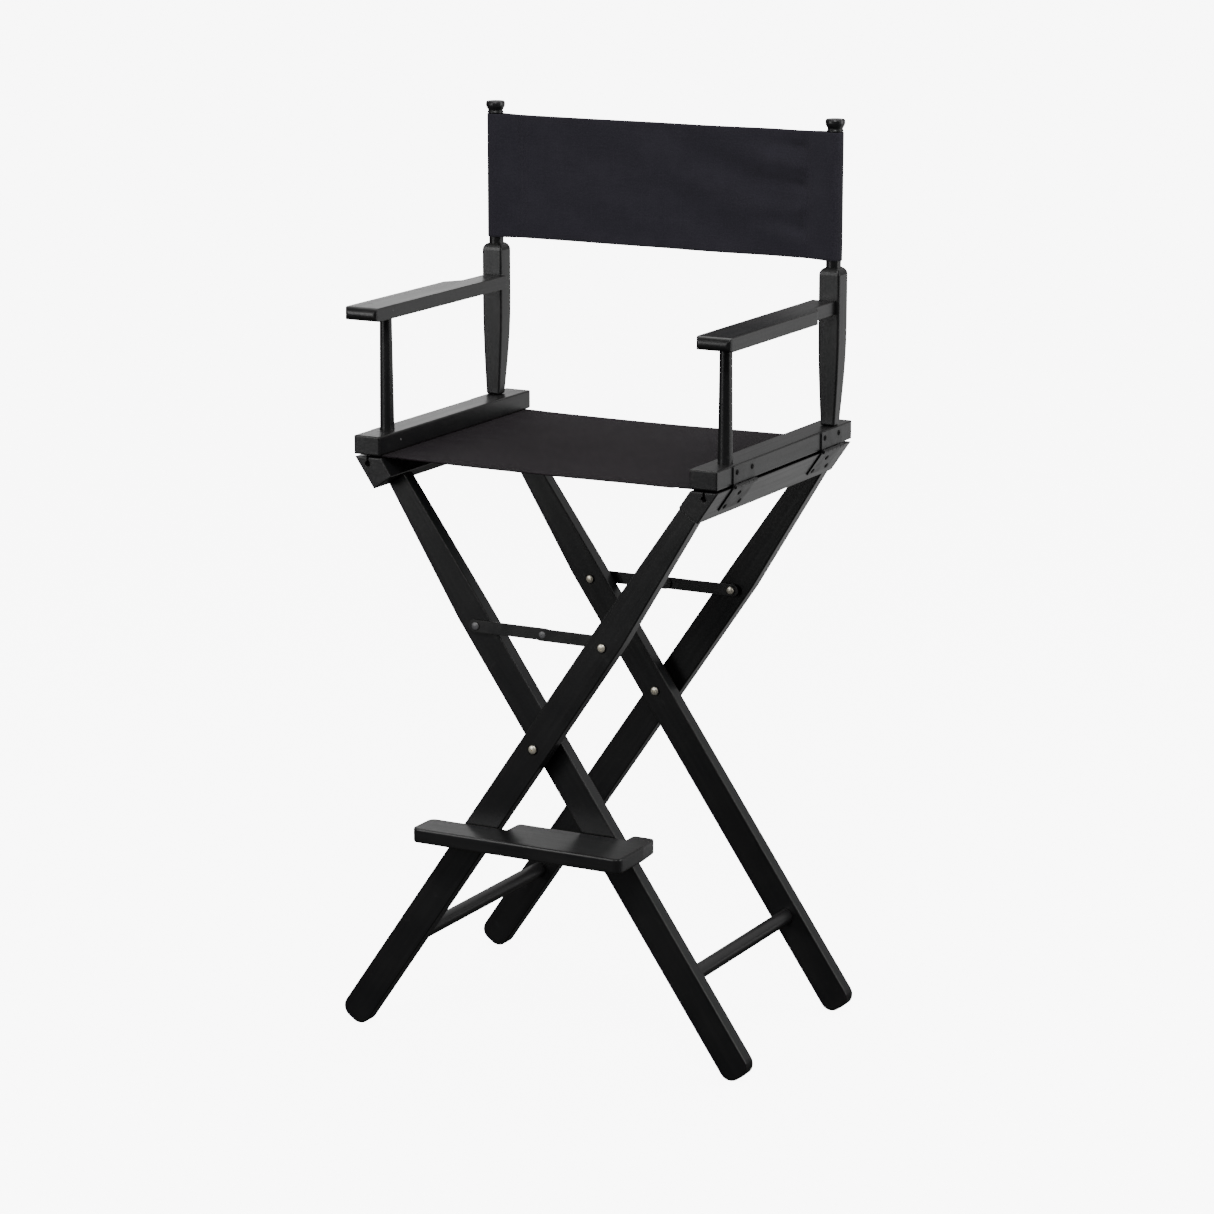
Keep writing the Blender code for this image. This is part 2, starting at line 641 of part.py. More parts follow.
def make_footrest(name, body):
    """A board on the outer front leg. A tongue and a finger reach back on both sides of the inner leg."""
    face = -LEG_FRONT_FACE - GAP
    lap = -INNER_LEG_Y - LEG_THICK / 2 - 0.0012
    level = FOOTREST_Z[1] - PIVOT_Z
    outer_right = -leg_edge_x(level, -1)
    inner_right = leg_edge_x(FOOTREST_Z[0] - PIVOT_Z, 1)
    step = outer_right + 0.012
    finger = inner_right + 0.0015
    half = FOOTREST_HALF
    corners = [
        (-half, FOOTREST_FRONT),
        (half, FOOTREST_FRONT),
        (half, face + 0.014),
        (finger + 0.030, FINGER_BACK),
        (finger, FINGER_BACK),
        (finger, lap),
        (step, lap),
        (step, face),
        (-half, face),
    ]
    radii = [0.009, 0.009, 0.006, 0.006, 0.006, 0, 0.006, 0, 0.009]
    board = prism(name, rounded(corners, radii, 5), "Z", *FOOTREST_Z)
    ease_edges(board, 0.0022, 2)
    return piece(board, body, "paint")


def leg_edge_x(level, edge):
    """x of the left (-1) or right (+1) edge of an inner leg, at this height above the crossing."""
    return -level * sin(TILT) / cos(TILT) + edge * LEG_WIDTH / 2 / cos(TILT)


# ---- assembly -----------------------------------------------------------------------------------
def make_stay(place, outer, inner, facing):
    """The stay of the front (-1) or rear (+1) legs, with its two pins."""
    leg_face = INNER_LEG_Y + LEG_THICK / 2
    inner_y, outer_y = (facing * (leg_face + out) for out in STAY_LINK_OUT)
    for side, body_name, y, head_side in (
        (-1, f"{place}_stay_inner", inner_y, -facing),
        (1, f"{place}_stay_outer", outer_y, facing),
    ):
        link_body = Body(body_name, side * STAY_X, 0, STAY_Z)
        make_stay_link(f"{body_name}_link", link_body, side, y, head_side)
    # every head faces front: the bolts' on the legs, the rivets' on the links
    if facing < 0:
        bolt = (f"{place}_stay_outer_bolt", outer, 1, -LEG_FRONT_FACE)
        rivet = (f"{place}_stay_inner_rivet", inner, -1, inner_y - STAY_THICK / 2 - GAP, "black_steel")
    else:
        bolt = (f"{place}_stay_inner_bolt", inner, -1, INNER_LEG_Y - LEG_THICK / 2)
        rivet = (f"{place}_stay_outer_rivet", outer, 1, outer_y - STAY_THICK / 2 - GAP, "nickel")
    name, body, side, y = bolt
    place = along_y(side * STAY_X, y, STAY_Z, -1)
    make_pin(name, body, "nickel", "stay bolt", place, STAY_BOLT_SHANK)
    name, body, side, y, surface = rivet
    place = along_y(side * STAY_X, y, STAY_Z, -1)
    make_pin(name, body, surface, "stay rivet", place, STAY_RIVET_SHANK)


def make_side(word, body, side):
    make_seat_rail(f"{word}_seat_rail", body, side)
    make_front_post(f"{word}_front_post", body, side)
    make_back_post(f"{word}_back_post", body, side)
    make_dowel(f"{word}_back_dowel", body, side)
    make_finial(f"{word}_finial", body, side)
    make_armrest(f"{word}_armrest", body, side)


def make_leg_frame(word, body, side, leg_y):
    for place, facing in (("front", -1), ("rear", 1)):
        make_leg(f"{word}_{place}_leg", body, side, facing * leg_y)
    make_lower_rail(f"{word}_lower_rail", body, side)
    make_stretcher(f"{word}_stretcher", body, side, leg_y)


def make_hinges(word, side_body, frame_body, side):
    for place, middle in zip(("front", "rear"), HINGE_Y):
        make_upper_leaf(f"{word}_{place}_hinge_upper_leaf", side_body, side, middle)
        make_lower_leaf(f"{word}_{place}_hinge_lower_leaf", frame_body, side, middle)
        make_hinge_pin(f"{word}_{place}_hinge_pin", side_body, side, middle)


def build():
    for obj in list(bpy.data.objects):
        bpy.data.objects.remove(obj)
    outer = Body("outer_frame", z=PIVOT_Z)
    inner = Body("inner_frame", z=PIVOT_Z)
    make_leg_frame("outer", outer, 1, OUTER_LEG_Y)
    make_leg_frame("inner", inner, -1, INNER_LEG_Y)
    make_footrest("footrest", outer)
    for word, side, frame_body in (("left", -1, inner), ("right", 1, outer)):
        side_body = Body(f"{word}_side", side * HINGE_AXIS[0], 0, HINGE_AXIS[1])
        make_side(word, side_body, side)
        make_hinges(word, side_body, frame_body, side)
        make_rod(f"{word}_seat_rod", frame_body, side)
        make_hem(f"{word}_seat_hem", frame_body, side)
        seat = Body(f"seat_{word}", side * SEAT_EDGE_X, 0, CANVAS_Z)
        make_seat_half(f"seat_canvas_{word}", seat, side)
        back = Body(f"back_{word}", side * BACK_POST_X, BACK_DOWEL_Y, sum(BACK_CANVAS_Z) / 2)
        make_back_half(f"back_canvas_{word}", back, side)
    for place, facing in (("front", -1), ("rear", 1)):
        make_stay(place, outer, inner, facing)
        middle = facing * (OUTER_LEG_Y + INNER_LEG_Y) / 2
        make_spacer(f"{place}_pivot_spacer", outer, middle)
        leg_faces = (facing * LEG_FRONT_FACE, facing * (INNER_LEG_Y - LEG_THICK / 2))
        head_y, nut_y = min(leg_faces), max(leg_faces)
        shank = nut_y - head_y - 2 * GAP
        head = along_y(0, head_y, PIVOT_Z, -1)
        make_pin(f"{place}_pivot_bolt", outer, "nickel", "pivot bolt", head, shank)
        make_nut(f"{place}_pivot_nut", outer, nut_y)


build()
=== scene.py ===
"""Looks of a tall folding director's chair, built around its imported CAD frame.

Metres, +Z up, front towards -Y. left and right are as seen from the front.
"""

from math import acos, atan2, ceil, cos, exp, hypot, pi, radians, sin

import bmesh
import bpy
from mathutils import Matrix, Vector, noise


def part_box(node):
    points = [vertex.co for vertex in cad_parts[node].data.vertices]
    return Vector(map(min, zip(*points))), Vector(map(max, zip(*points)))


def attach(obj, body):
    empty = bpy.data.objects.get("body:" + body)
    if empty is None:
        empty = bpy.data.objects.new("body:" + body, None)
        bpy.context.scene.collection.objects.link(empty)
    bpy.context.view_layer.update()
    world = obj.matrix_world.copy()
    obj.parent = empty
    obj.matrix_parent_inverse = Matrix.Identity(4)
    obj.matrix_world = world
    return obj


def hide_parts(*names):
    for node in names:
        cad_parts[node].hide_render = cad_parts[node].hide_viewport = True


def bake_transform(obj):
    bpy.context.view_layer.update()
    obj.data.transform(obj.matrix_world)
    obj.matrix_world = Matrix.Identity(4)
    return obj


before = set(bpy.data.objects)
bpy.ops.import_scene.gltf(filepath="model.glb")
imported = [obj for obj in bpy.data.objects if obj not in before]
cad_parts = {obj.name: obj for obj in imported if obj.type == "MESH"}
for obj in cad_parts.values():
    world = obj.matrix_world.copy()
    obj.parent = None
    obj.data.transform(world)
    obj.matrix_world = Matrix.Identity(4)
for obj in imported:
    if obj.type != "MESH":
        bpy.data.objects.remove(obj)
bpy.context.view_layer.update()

SIDES = {"left": -1, "right": 1}
FRAMES = {"left": "inner_frame", "right": "outer_frame"}
TILT = radians(34.5)  # of the legs and lower rails from upright

# linear colours
PAINT_DARK = (0.0072, 0.0072, 0.0078)
PAINT_LIGHT = (0.0118, 0.0116, 0.0120)
PAINT_STREAK = (0.0165, 0.0160, 0.0160)
DUST = (0.060, 0.058, 0.057)
RUBBED_WOOD = (0.075, 0.062, 0.050)
STEEL_DARK = (0.0085, 0.0085, 0.0090)
STEEL_LIGHT = (0.0150, 0.0148, 0.0150)
BARE_STEEL = (0.16, 0.155, 0.15)
NICKEL_BRIGHT = (0.95, 0.90, 0.76)
NICKEL_DULL = (0.72, 0.67, 0.55)
LINT = (0.20, 0.20, 0.21)
# the back and the seat are one black canvas: the back's tint is painted lighter and the seat's darker,
# painted light and shade that even out the stronger light on the seat
BACK_TINT_PAINTED_LIGHTER = (0.0310, 0.0288, 0.0380)
SEAT_TINT_PAINTED_DARKER = (0.0130, 0.0098, 0.0123)
THREAD_TINT = (0.015, 0.0145, 0.017)
WHITE = (1, 1, 1, 1)

WOOD_EDGE = 0.0014  # radius that the shading gives to sharp edges
STEEL_EDGE = 0.0006
YARN_PITCH = 0.00072  # between the threads of the canvas


def centre_of(node):
    low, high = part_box(node)
    return (low + high) / 2


def linked(name, data):
    """A new object in the scene, with this mesh, light or camera."""
    made = bpy.data.objects.new(name, data)
    bpy.context.scene.collection.objects.link(made)
    return made


def bmesh_object(name, bm):
    """A new object that holds the bmesh, which is freed."""
    mesh = bpy.data.meshes.new(name)
    bm.to_mesh(mesh)
    bm.free()
    return linked(name, mesh)


# ---- materials ----------------------------------------------------------------------------------
def new_material(name):
    made = bpy.data.materials.new(name)
    made.use_nodes = True
    made.node_tree.nodes.clear()
    return made, made.node_tree


def add(tree, kind, inputs=None, **settings):
    """A shader node with its settings made and its inputs set or linked."""
    made = tree.nodes.new("ShaderNode" + kind)
    for key, value in settings.items():
        setattr(made, key, value)
    for key, value in (inputs or {}).items():
        if isinstance(value, bpy.types.NodeSocket):
            tree.links.new(value, made.inputs[key])
        else:
            made.inputs[key].default_value = value
    return made


def maths(tree, what, first, second=0.0, third=0.0):
    return add(tree, "Math", {0: first, 1: second, 2: third}, operation=what).outputs[0]


def ramp(tree, value, low, high, start=0.0, end=1.0):
    """Maps value from low..high to start..end, clamped and eased."""
    made = add(
        tree,
        "MapRange",
        {"Value": value, "From Min": low, "From Max": high, "To Min": start, "To Max": end},
        interpolation_type="SMOOTHSTEP",
    )
    return made.outputs["Result"]


def mix(tree, share, first, second):
    """Colour mix: first at share 0, second at share 1."""
    made = add(tree, "Mix", data_type="RGBA")
    for index, value in ((0, share), (6, first), (7, second)):
        if isinstance(value, bpy.types.NodeSocket):
            tree.links.new(value, made.inputs[index])
        else:
            made.inputs[index].default_value = (*value, 1) if hasattr(value, "__len__") else value
    return made.outputs[2]


def scaled(tree, where, scale, turn=(0, 0, 0)):
    """Pattern coordinates turned, then scaled along each axis."""
    return add(tree, "Mapping", {"Vector": where, "Rotation": turn, "Scale": scale}).outputs["Vector"]


def tone_of(colour, share):
    return tuple(share * c for c in colour)


def cloud(tree, where, scale, detail=3.0, roughness=0.5):
    """Noise of about scale patches per metre."""
    inputs = {"Vector": where, "Scale": scale, "Detail": detail, "Roughness": roughness}
    return add(tree, "TexNoise", inputs).outputs["Fac"]


def bump(tree, height, distance, normal=None):
    inputs = {"Height": height, "Distance": distance, "Strength": 1.0}
    if normal is not None:
        inputs["Normal"] = normal
    return add(tree, "Bump", inputs).outputs["Normal"]


def finish_material(tree, colour, roughness, normal, **fixed):
    """Joins the patterns to a Principled shader. What is the same all over is set on its own socket."""
    inputs = {"Base Color": colour, "Roughness": roughness, "Normal": normal}
    names = {"metallic": "Metallic", "level": "Specular IOR Level", "sheen": "Sheen Weight"}
    names.update(sheen_roughness="Sheen Roughness", coat="Coat Weight", coat_roughness="Coat Roughness")
    inputs.update({names[key]: value for key, value in fixed.items()})
    shader = add(tree, "BsdfPrincipled", inputs)
    add(tree, "OutputMaterial", {"Surface": shader.outputs["BSDF"]})


def edge_mask(tree, radius):
    """1 on the sharp and rounded edges of a piece, 0 on its flats, and the rounded normal there."""
    soft = add(tree, "Bevel", {"Radius": radius}, samples=6).outputs["Normal"]
    true = add(tree, "NewGeometry").outputs["True Normal"]
    likeness = add(tree, "VectorMath", {0: soft, 1: true}, operation="DOT_PRODUCT").outputs["Value"]
    return ramp(tree, likeness, 0.995, 0.86), soft


def painted_wood(name, turn):
    """Black satin paint over wood. turn brings the grain's direction upright."""
    made, tree = new_material(name)
    place = add(tree, "TexCoord").outputs["Object"]
    turned = scaled(tree, place, (1, 1, 1), turn)
    fibres = scaled(tree, turned, (1, 1, 0.03))
    planing = scaled(tree, turned, (1, 1, 0.12))
    pores = cloud(tree, fibres, 1500, 3, 0.6)
    figure = cloud(tree, fibres, 210, 4, 0.6)
    waves = cloud(tree, planing, 42, 2)
    peel = cloud(tree, place, 620, 2)
    mottle = cloud(tree, place, 17, 4)
    dust = ramp(tree, cloud(tree, turned, 64, 6, 0.7), 0.60, 0.76)
    edge, soft = edge_mask(tree, WOOD_EDGE)
    rub = maths(tree, "MULTIPLY", edge, ramp(tree, cloud(tree, place, 95, 5, 0.7), 0.50, 0.70))
    base = mix(tree, ramp(tree, mottle, 0.3, 0.7), PAINT_DARK, PAINT_LIGHT)
    base = mix(tree, ramp(tree, figure, 0.52, 0.70, 0.0, 0.16), base, PAINT_STREAK)
    base = mix(tree, maths(tree, "MULTIPLY", dust, 0.16), base, DUST)
    base = mix(tree, maths(tree, "MULTIPLY", rub, 0.42), base, RUBBED_WOOD)
    rough = ramp(tree, figure, 0.30, 0.72, 0.30, 0.36)
    rough = maths(tree, "ADD", rough, maths(tree, "MULTIPLY", dust, 0.14))
    rough = maths(tree, "ADD", rough, maths(tree, "MULTIPLY", rub, 0.12))
    normal = bump(tree, waves, 0.00030, soft)
    normal = bump(tree, figure, 0.00009, normal)
    normal = bump(tree, pores, 0.00005, normal)
    normal = bump(tree, peel, 0.00005, normal)
    finish_material(tree, base, rough, normal, level=0.42, coat=0.06, coat_roughness=0.25)
    return made


def black_steel(name, shade=1.0, level=0.5, gloss=0.0):
    """Black paint baked on steel, rubbed to bare metal on its corners. A high shade lightens it, partly as
    paint worn thin and partly as a painted highlight; a low shade darkens it as painted shade.
    """
    made, tree = new_material(name)
    place = add(tree, "TexCoord").outputs["Object"]
    speckle = cloud(tree, place, 1900, 2)
    mottle = cloud(tree, place, 60, 4)
    edge, soft = edge_mask(tree, STEEL_EDGE)
    rub = maths(tree, "MULTIPLY", edge, ramp(tree, cloud(tree, place, 260, 5, 0.7), 0.52, 0.66))
    dark, light = tone_of(STEEL_DARK, shade), tone_of(STEEL_LIGHT, shade)
    base = mix(tree, ramp(tree, mottle, 0.35, 0.7), dark, light)
    base = mix(tree, maths(tree, "MULTIPLY", rub, 0.5 * shade), base, BARE_STEEL)
    rough = ramp(tree, mottle, 0.3, 0.7, 0.36 - gloss, 0.48 - gloss)
    normal = bump(tree, speckle, 0.00006, soft)
    finish_material(tree, base, rough, normal, level=level)
    return made


def nickel(name):
    """Nickel plate with a warm cast, fine turning marks and dull spots."""
    made, tree = new_material(name)
    place = add(tree, "TexCoord").outputs["Object"]
    spots = cloud(tree, place, 900, 4, 0.65)
    marks = cloud(tree, scaled(tree, place, (1, 0.1, 1)), 5200, 2)
    base = mix(tree, ramp(tree, spots, 0.42, 0.66), NICKEL_BRIGHT, NICKEL_DULL)
    rough = ramp(tree, spots, 0.3, 0.7, 0.30, 0.42)
    normal = bump(tree, marks, 0.00001)
    finish_material(tree, base, rough, normal, metallic=0.8)
    return made


def canvas(name, tint, worn, sheen):
    """Plain-woven black cotton canvas. The map called cloth is in metres along the warp and weft."""
    made, tree = new_material(name)
    cloth = add(tree, "UVMap", uv_map="cloth").outputs["UV"]
    parts = add(tree, "SeparateXYZ", {"Vector": cloth})
    wander = cloud(tree, cloth, 140, 2)
    slub = maths(tree, "MULTIPLY", maths(tree, "SUBTRACT", wander, 0.5), 0.35)
    across = maths(tree, "ADD", maths(tree, "MULTIPLY", parts.outputs["X"], 1 / YARN_PITCH), slub)
    along = maths(tree, "ADD", maths(tree, "MULTIPLY", parts.outputs["Y"], 1 / YARN_PITCH), slub)

    def thread(own, other):
        """Height of one set of threads: round over its own width, going over and under the other set."""
        crown = maths(tree, "ABSOLUTE", maths(tree, "SINE", maths(tree, "MULTIPLY", own, pi)))
        turn = maths(tree, "ADD", other, maths(tree, "FLOOR", own))
        over = maths(tree, "COSINE", maths(tree, "MULTIPLY", turn, pi))
        return maths(tree, "MULTIPLY", crown, maths(tree, "MULTIPLY_ADD", over, 0.5, 0.5))

    warp = thread(across, along)
    weft = thread(along, maths(tree, "ADD", across, 1.0))
    weave = maths(tree, "MAXIMUM", warp, weft)
    fuzz = cloud(tree, cloth, 2600, 3, 0.7)
    streaks = cloud(tree, scaled(tree, cloth, (1, 0.02, 1)), 900, 3)
    ticks = cloud(tree, scaled(tree, cloth, (0.02, 1, 1)), 900, 3)
    mottle = cloud(tree, cloth, 22, 5, 0.6)
    grain = cloud(tree, cloth, 620, 2, 0.6)
    flecks = add(tree, "TexVoronoi", {"Vector": cloth, "Scale": 40.0, "Randomness": 1.0})
    lint = ramp(tree, flecks.outputs["Distance"], 0.030, 0.014)
    rare = ramp(tree, add(tree, "SeparateColor", {0: flecks.outputs["Color"]}).outputs[0], 0.80, 0.84)
    lint = maths(tree, "MULTIPLY", lint, rare)
    yarns = maths(tree, "MULTIPLY", maths(tree, "ADD", streaks, ticks), 0.5)
    # darker where the weave lies low, between the threads: painted shade in the gaps of the weave
    base = mix(tree, ramp(tree, weave, 0.15, 0.8), tone_of(tint, 0.72), tint)
    base = mix(tree, ramp(tree, mottle, 0.38, 0.74, 0.0, worn), base, tone_of(tint, 1.9))
    base = mix(tree, ramp(tree, grain, 0.42, 0.64, 0.0, 0.30), base, tone_of(tint, 1.9))
    base = mix(tree, ramp(tree, yarns, 0.50, 0.64, 0.0, 0.12), base, tone_of(tint, 2.2))
    base = mix(tree, maths(tree, "MULTIPLY", lint, 0.5), base, LINT)
    rough = ramp(tree, fuzz, 0.3, 0.7, 0.82, 0.94)
    normal = bump(tree, weave, 0.00016)
    normal = bump(tree, fuzz, 0.00006, normal)
    finish_material(tree, base, rough, normal, level=0.12, sheen=sheen, sheen_roughness=0.45)
    return made


def thread_material(name, tint):
    """Twisted sewing thread."""
    made, tree = new_material(name)
    place = add(tree, "TexCoord").outputs["Object"]
    inputs = {"Vector": place, "Scale": 900.0, "Distortion": 1.0}
    twist = add(tree, "TexWave", inputs, bands_direction="DIAGONAL")
    shade = cloud(tree, place, 400, 3)
    base = mix(tree, ramp(tree, shade, 0.35, 0.65), tint, tone_of(tint, 1.6))
    rough = ramp(tree, shade, 0.3, 0.7, 0.6, 0.75)
    normal = bump(tree, twist.outputs["Fac"], 0.00005)
    finish_material(tree, base, rough, normal, level=0.3, sheen=0.1, sheen_roughness=0.4)
    return made


GRAIN = {
    "x": (0, -pi / 2, 0),
    "y": (pi / 2, 0, 0),
    "z": (0, 0, 0),
    "outer_leg": (0, -TILT, 0),
    "inner_leg": (0, TILT, 0),
}
PAINT = {way: painted_wood(f"painted_wood_{way}", turn) for way, turn in GRAIN.items()}
STEEL = black_steel("black_steel")
# light grey steel for small heads: paint worn to bare metal, and partly a painted highlight that stands in
# for their glints
WORN_AND_GLINT_STEEL = black_steel("worn_and_glint_steel", shade=12.0, level=0.6, gloss=0.12)
NICKEL = nickel("nickel_plate")
# one canvas in two tints, lighter on the back and darker on the seat: painted light and shade
BACK_CLOTH = canvas("back_canvas_weave", BACK_TINT_PAINTED_LIGHTER, worn=0.20, sheen=0.08)
SEAT_CLOTH = canvas("seat_canvas_weave", SEAT_TINT_PAINTED_DARKER, worn=0.22, sheen=0.03)
THREAD = thread_material("black_thread", THREAD_TINT)


def wear(obj, surface):
    obj.data.materials.clear()
    obj.data.materials.append(surface)
    return obj


def surface_of(node):
    if "leg" in node:
        return PAINT["outer_leg" if node.startswith("outer") else "inner_leg"]
    if "bolt" in node or "nut" in node or node == "rear_stay_outer_rivet":
        return NICKEL
    if "rivet" in node:
        return WORN_AND_GLINT_STEEL
    if "hinge" in node or "stay" in node or "spacer" in node:
        return STEEL
    if "canvas" in node or "hem" in node:
        return SEAT_CLOTH
    if "footrest" in node:
        return PAINT["x"]
    if "rail" in node or "armrest" in node or "stretcher" in node or "rod" in node:
        return PAINT["y"]
    return PAINT["z"]


for node_name, node_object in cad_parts.items():
    for slot in node_object.material_slots:
        slot.material = surface_of(node_name)

# ---- camera, floor and lights -------------------------------------------------------------------
CAMERA_PLACE = (2.2032, -4.1055, 1.6415)
CAMERA_DOWN = radians(13.245)  # below level
CAMERA_ROUND = radians(28.07)  # from the chair's front towards the right
CAMERA_SENSOR, CAMERA_LENS = 36, 112.3  # millimetres
FLOOR_TONES = ((0.80, 0.80, 0.80), (0.84, 0.84, 0.84))
FLOOR_DARK = (0.07, 0.07, 0.07, 1)  # what the chair mirrors in front
FLOOR_BRIGHT = 0.85  # what it mirrors from behind on the right
FLOOR_RADIUS = 60
FLOOR_DROP = 0.0006  # keeps the floor clear of the feet
FLOOR_GLOW = 8.1  # seen by the camera only, as BACKDROP
BACKDROP = 9.0
LIGHTS = (  # name, place, aim, size and watts
    ("overhead", (-0.4, 1.2, 3.4), (0, 0, 0.6), (2.6, 1.6), 36),
    ("right_wall", (3.2, 1.0, 1.6), (0, 0, 0.7), (1.8, 2.2), 44),
    ("front_high", (1.1, -2.5, 3.35), (0, 0, 0.95), (1.4, 1.2), 78),
    ("front_left", (-1.7, -2.9, 1.40), (0, 0, 1.0), (1.0, 1.8), 33),
    ("strip", (-1.15, 1.25, 1.22), (-0.24, 0, 0.85), (0.60, 0.55), 1.3),
)

camera_data = bpy.data.cameras.new("camera")
camera_data.sensor_width = CAMERA_SENSOR
camera_data.lens = CAMERA_LENS
camera = linked("camera", camera_data)
camera.location = CAMERA_PLACE
camera.rotation_euler = (pi / 2 - CAMERA_DOWN, 0, CAMERA_ROUND)
bpy.context.scene.camera = camera


def pale_floor():
    """A floor that looks white, but lights the chair from below only from behind on the right."""
    made, tree = new_material("pale_floor")
    place = add(tree, "TexCoord").outputs["Object"]
    tone = mix(tree, cloud(tree, place, 1.5, 2), *FLOOR_TONES)
    body = add(tree, "BsdfPrincipled", {"Base Color": tone, "Roughness": 0.9, "Specular IOR Level": 0.1})
    spot = add(tree, "SeparateXYZ", {"Vector": place})
    right = ramp(tree, spot.outputs["X"], -0.45, 0.5)
    behind = ramp(tree, spot.outputs["Y"], 0.3, 1.2)
    aside = maths(tree, "MULTIPLY", right, behind)
    dark = add(tree, "BsdfDiffuse", {"Color": FLOOR_DARK})
    lit = add(tree, "Emission", {"Color": WHITE, "Strength": FLOOR_BRIGHT})
    dim = add(tree, "MixShader", {0: aside, 1: dark.outputs[0], 2: lit.outputs[0]})
    glow = add(tree, "Emission", {"Color": WHITE, "Strength": FLOOR_GLOW})
    both = add(tree, "AddShader", {0: body.outputs[0], 1: glow.outputs[0]})
    seen = add(tree, "LightPath").outputs["Is Camera Ray"]
    shown = add(tree, "MixShader", {0: seen, 1: dim.outputs[0], 2: both.outputs[0]})
    add(tree, "OutputMaterial", {"Surface": shown.outputs[0]})
    bm = bmesh.new()
    bmesh.ops.create_circle(bm, cap_ends=True, segments=96, radius=FLOOR_RADIUS)
    floor_object = bmesh_object("studio_floor", bm)
    floor_object.location.z = -FLOOR_DROP
    wear(floor_object, made)


def soft_light(name, place, aim, size, power):
    data = bpy.data.lights.new(name, "AREA")
    data.shape = "RECTANGLE"
    data.size, data.size_y = size
    data.energy = power
    lamp = linked(name, data)
    lamp.location = place
    lamp.rotation_euler = (Vector(aim) - Vector(place)).to_track_quat("-Z", "Y").to_euler()
    lamp.visible_camera = False


def studio():
    """A white sweep behind the chair, dimmer low down and towards the camera."""
    world = bpy.data.worlds.new("studio")
    world.use_nodes = True
    tree = world.node_tree
    tree.nodes.clear()
    ray = add(tree, "TexCoord").outputs["Generated"]
    parts = add(tree, "SeparateXYZ", {"Vector": ray})
    behind = ramp(tree, parts.outputs["Y"], -0.25, 0.75, 0.24, 0.50)
    upper = ramp(tree, parts.outputs["Z"], 0.06, 0.30, 0.10, 1.0)
    seen = add(tree, "LightPath").outputs["Is Camera Ray"]
    strength = maths(tree, "MULTIPLY", behind, upper)
    strength = add(tree, "Mix", {0: seen, 2: strength, 3: BACKDROP}).outputs[0]
    sky = add(tree, "Background", {"Color": WHITE, "Strength": strength})
    add(tree, "OutputWorld", {"Surface": sky.outputs[0]})
    bpy.context.scene.world = world


pale_floor()
studio()
for light in LIGHTS:
    soft_light(*light)

# ---- shapes -------------------------------------------------------------------------------------
BOX_FACES = ((3, 2, 1, 0), (4, 5, 6, 7), (0, 1, 5, 4), (1, 2, 6, 5), (2, 3, 7, 6), (3, 0, 4, 7))
OVERCUT = 0.0006  # how far the cross cutter stands out of a head
CROSS_TAPER = 0.45  # reach of the cross at its bottom, as a share of that at its top


def object_of(name, points, faces, surface, sharp=70):
    """A mesh object, shaded smooth except over edges sharper than sharp degrees."""
    mesh = bpy.data.meshes.new(name)
    mesh.from_pydata([tuple(p) for p in points], [], faces)
    mesh.validate()
    mesh.shade_smooth()
    mesh.set_sharp_from_angle(angle=radians(sharp))
    return wear(linked(name, mesh), surface)


def rounded_path(corners, step, passes=4):
    """The corners' line at an even step, with its corners worn round."""
    line = [Vector(corners[0])]
    for corner in corners[1:]:
        corner = Vector(corner)
        pieces = max(1, ceil((corner - line[-1]).length / step))
        first = line[-1]
        line += [first.lerp(corner, k / pieces) for k in range(1, pieces + 1)]
    for _ in range(passes):
        inner = [(a + 2 * b + c) / 4 for a, b, c in zip(line, line[1:], line[2:])]
        line = [line[0], *inner, line[-1]]
    return line


def rectangle(reach, half):
    return [(-reach, -half), (reach, -half), (reach, half), (-reach, half)]


def cross_cutter(name, top, recess):
    """Two tapered bars at right angles. recess holds the reach, width and depth of the cross."""
    reach, width, depth = recess
    bm = bmesh.new()
    for turn in (0, pi / 2):
        place = Matrix.Rotation(turn, 4, "Z") @ Matrix.Translation((0, 0, top))
        low = rectangle(CROSS_TAPER * reach, width / 3)
        high = rectangle(reach, width / 2)
        corners = [bm.verts.new(place @ Vector((x, y, -depth))) for x, y in low]
        corners += [bm.verts.new(place @ Vector((x, y, OVERCUT))) for x, y in high]
        for face in BOX_FACES:
            bm.faces.new([corners[k] for k in face])
    return bmesh_object(name, bm)


def turned_head(name, profile, sides, recess):
    """A round head about +Z with a cross cut in its top. The profile goes from its foot to its top."""
    bm = bmesh.new()
    rings = []
    for radius, height in profile:
        count = sides if radius else 1
        ring = [2 * pi * k / sides for k in range(count)]
        rings.append([bm.verts.new((radius * cos(a), radius * sin(a), height)) for a in ring])
    for low, high in zip(rings, rings[1:]):
        for k in range(sides):
            corners = [low[k % len(low)], low[(k + 1) % len(low)]]
            corners += [high[(k + 1) % len(high)], high[k % len(high)]]
            bm.faces.new(list(dict.fromkeys(corners)))
    bmesh.ops.recalc_face_normals(bm, faces=bm.faces)
    head = bmesh_object(name, bm)
    cutter = cross_cutter(f"{name}_cutter", profile[-1][1], recess)
    cut = head.modifiers.new("cross", "BOOLEAN")
    cut.operation, cut.solver, cut.object, cut.use_self = "DIFFERENCE", "EXACT", cutter, True
    shown = head.evaluated_get(bpy.context.evaluated_depsgraph_get())
    final = bpy.data.meshes.new_from_object(shown)
    bpy.data.objects.remove(head)
    bpy.data.objects.remove(cutter)
    return final


def placed_copies(name, mesh, places, surface, sharp=38):
    """One piece made of a mesh repeated at each place."""
    points, faces = [], []
    for place in places:
        first = len(points)
        points += [place @ v.co for v in mesh.vertices]
        faces += [[first + k for k in p.vertices] for p in mesh.polygons]
    return object_of(name, points, faces, surface, sharp)


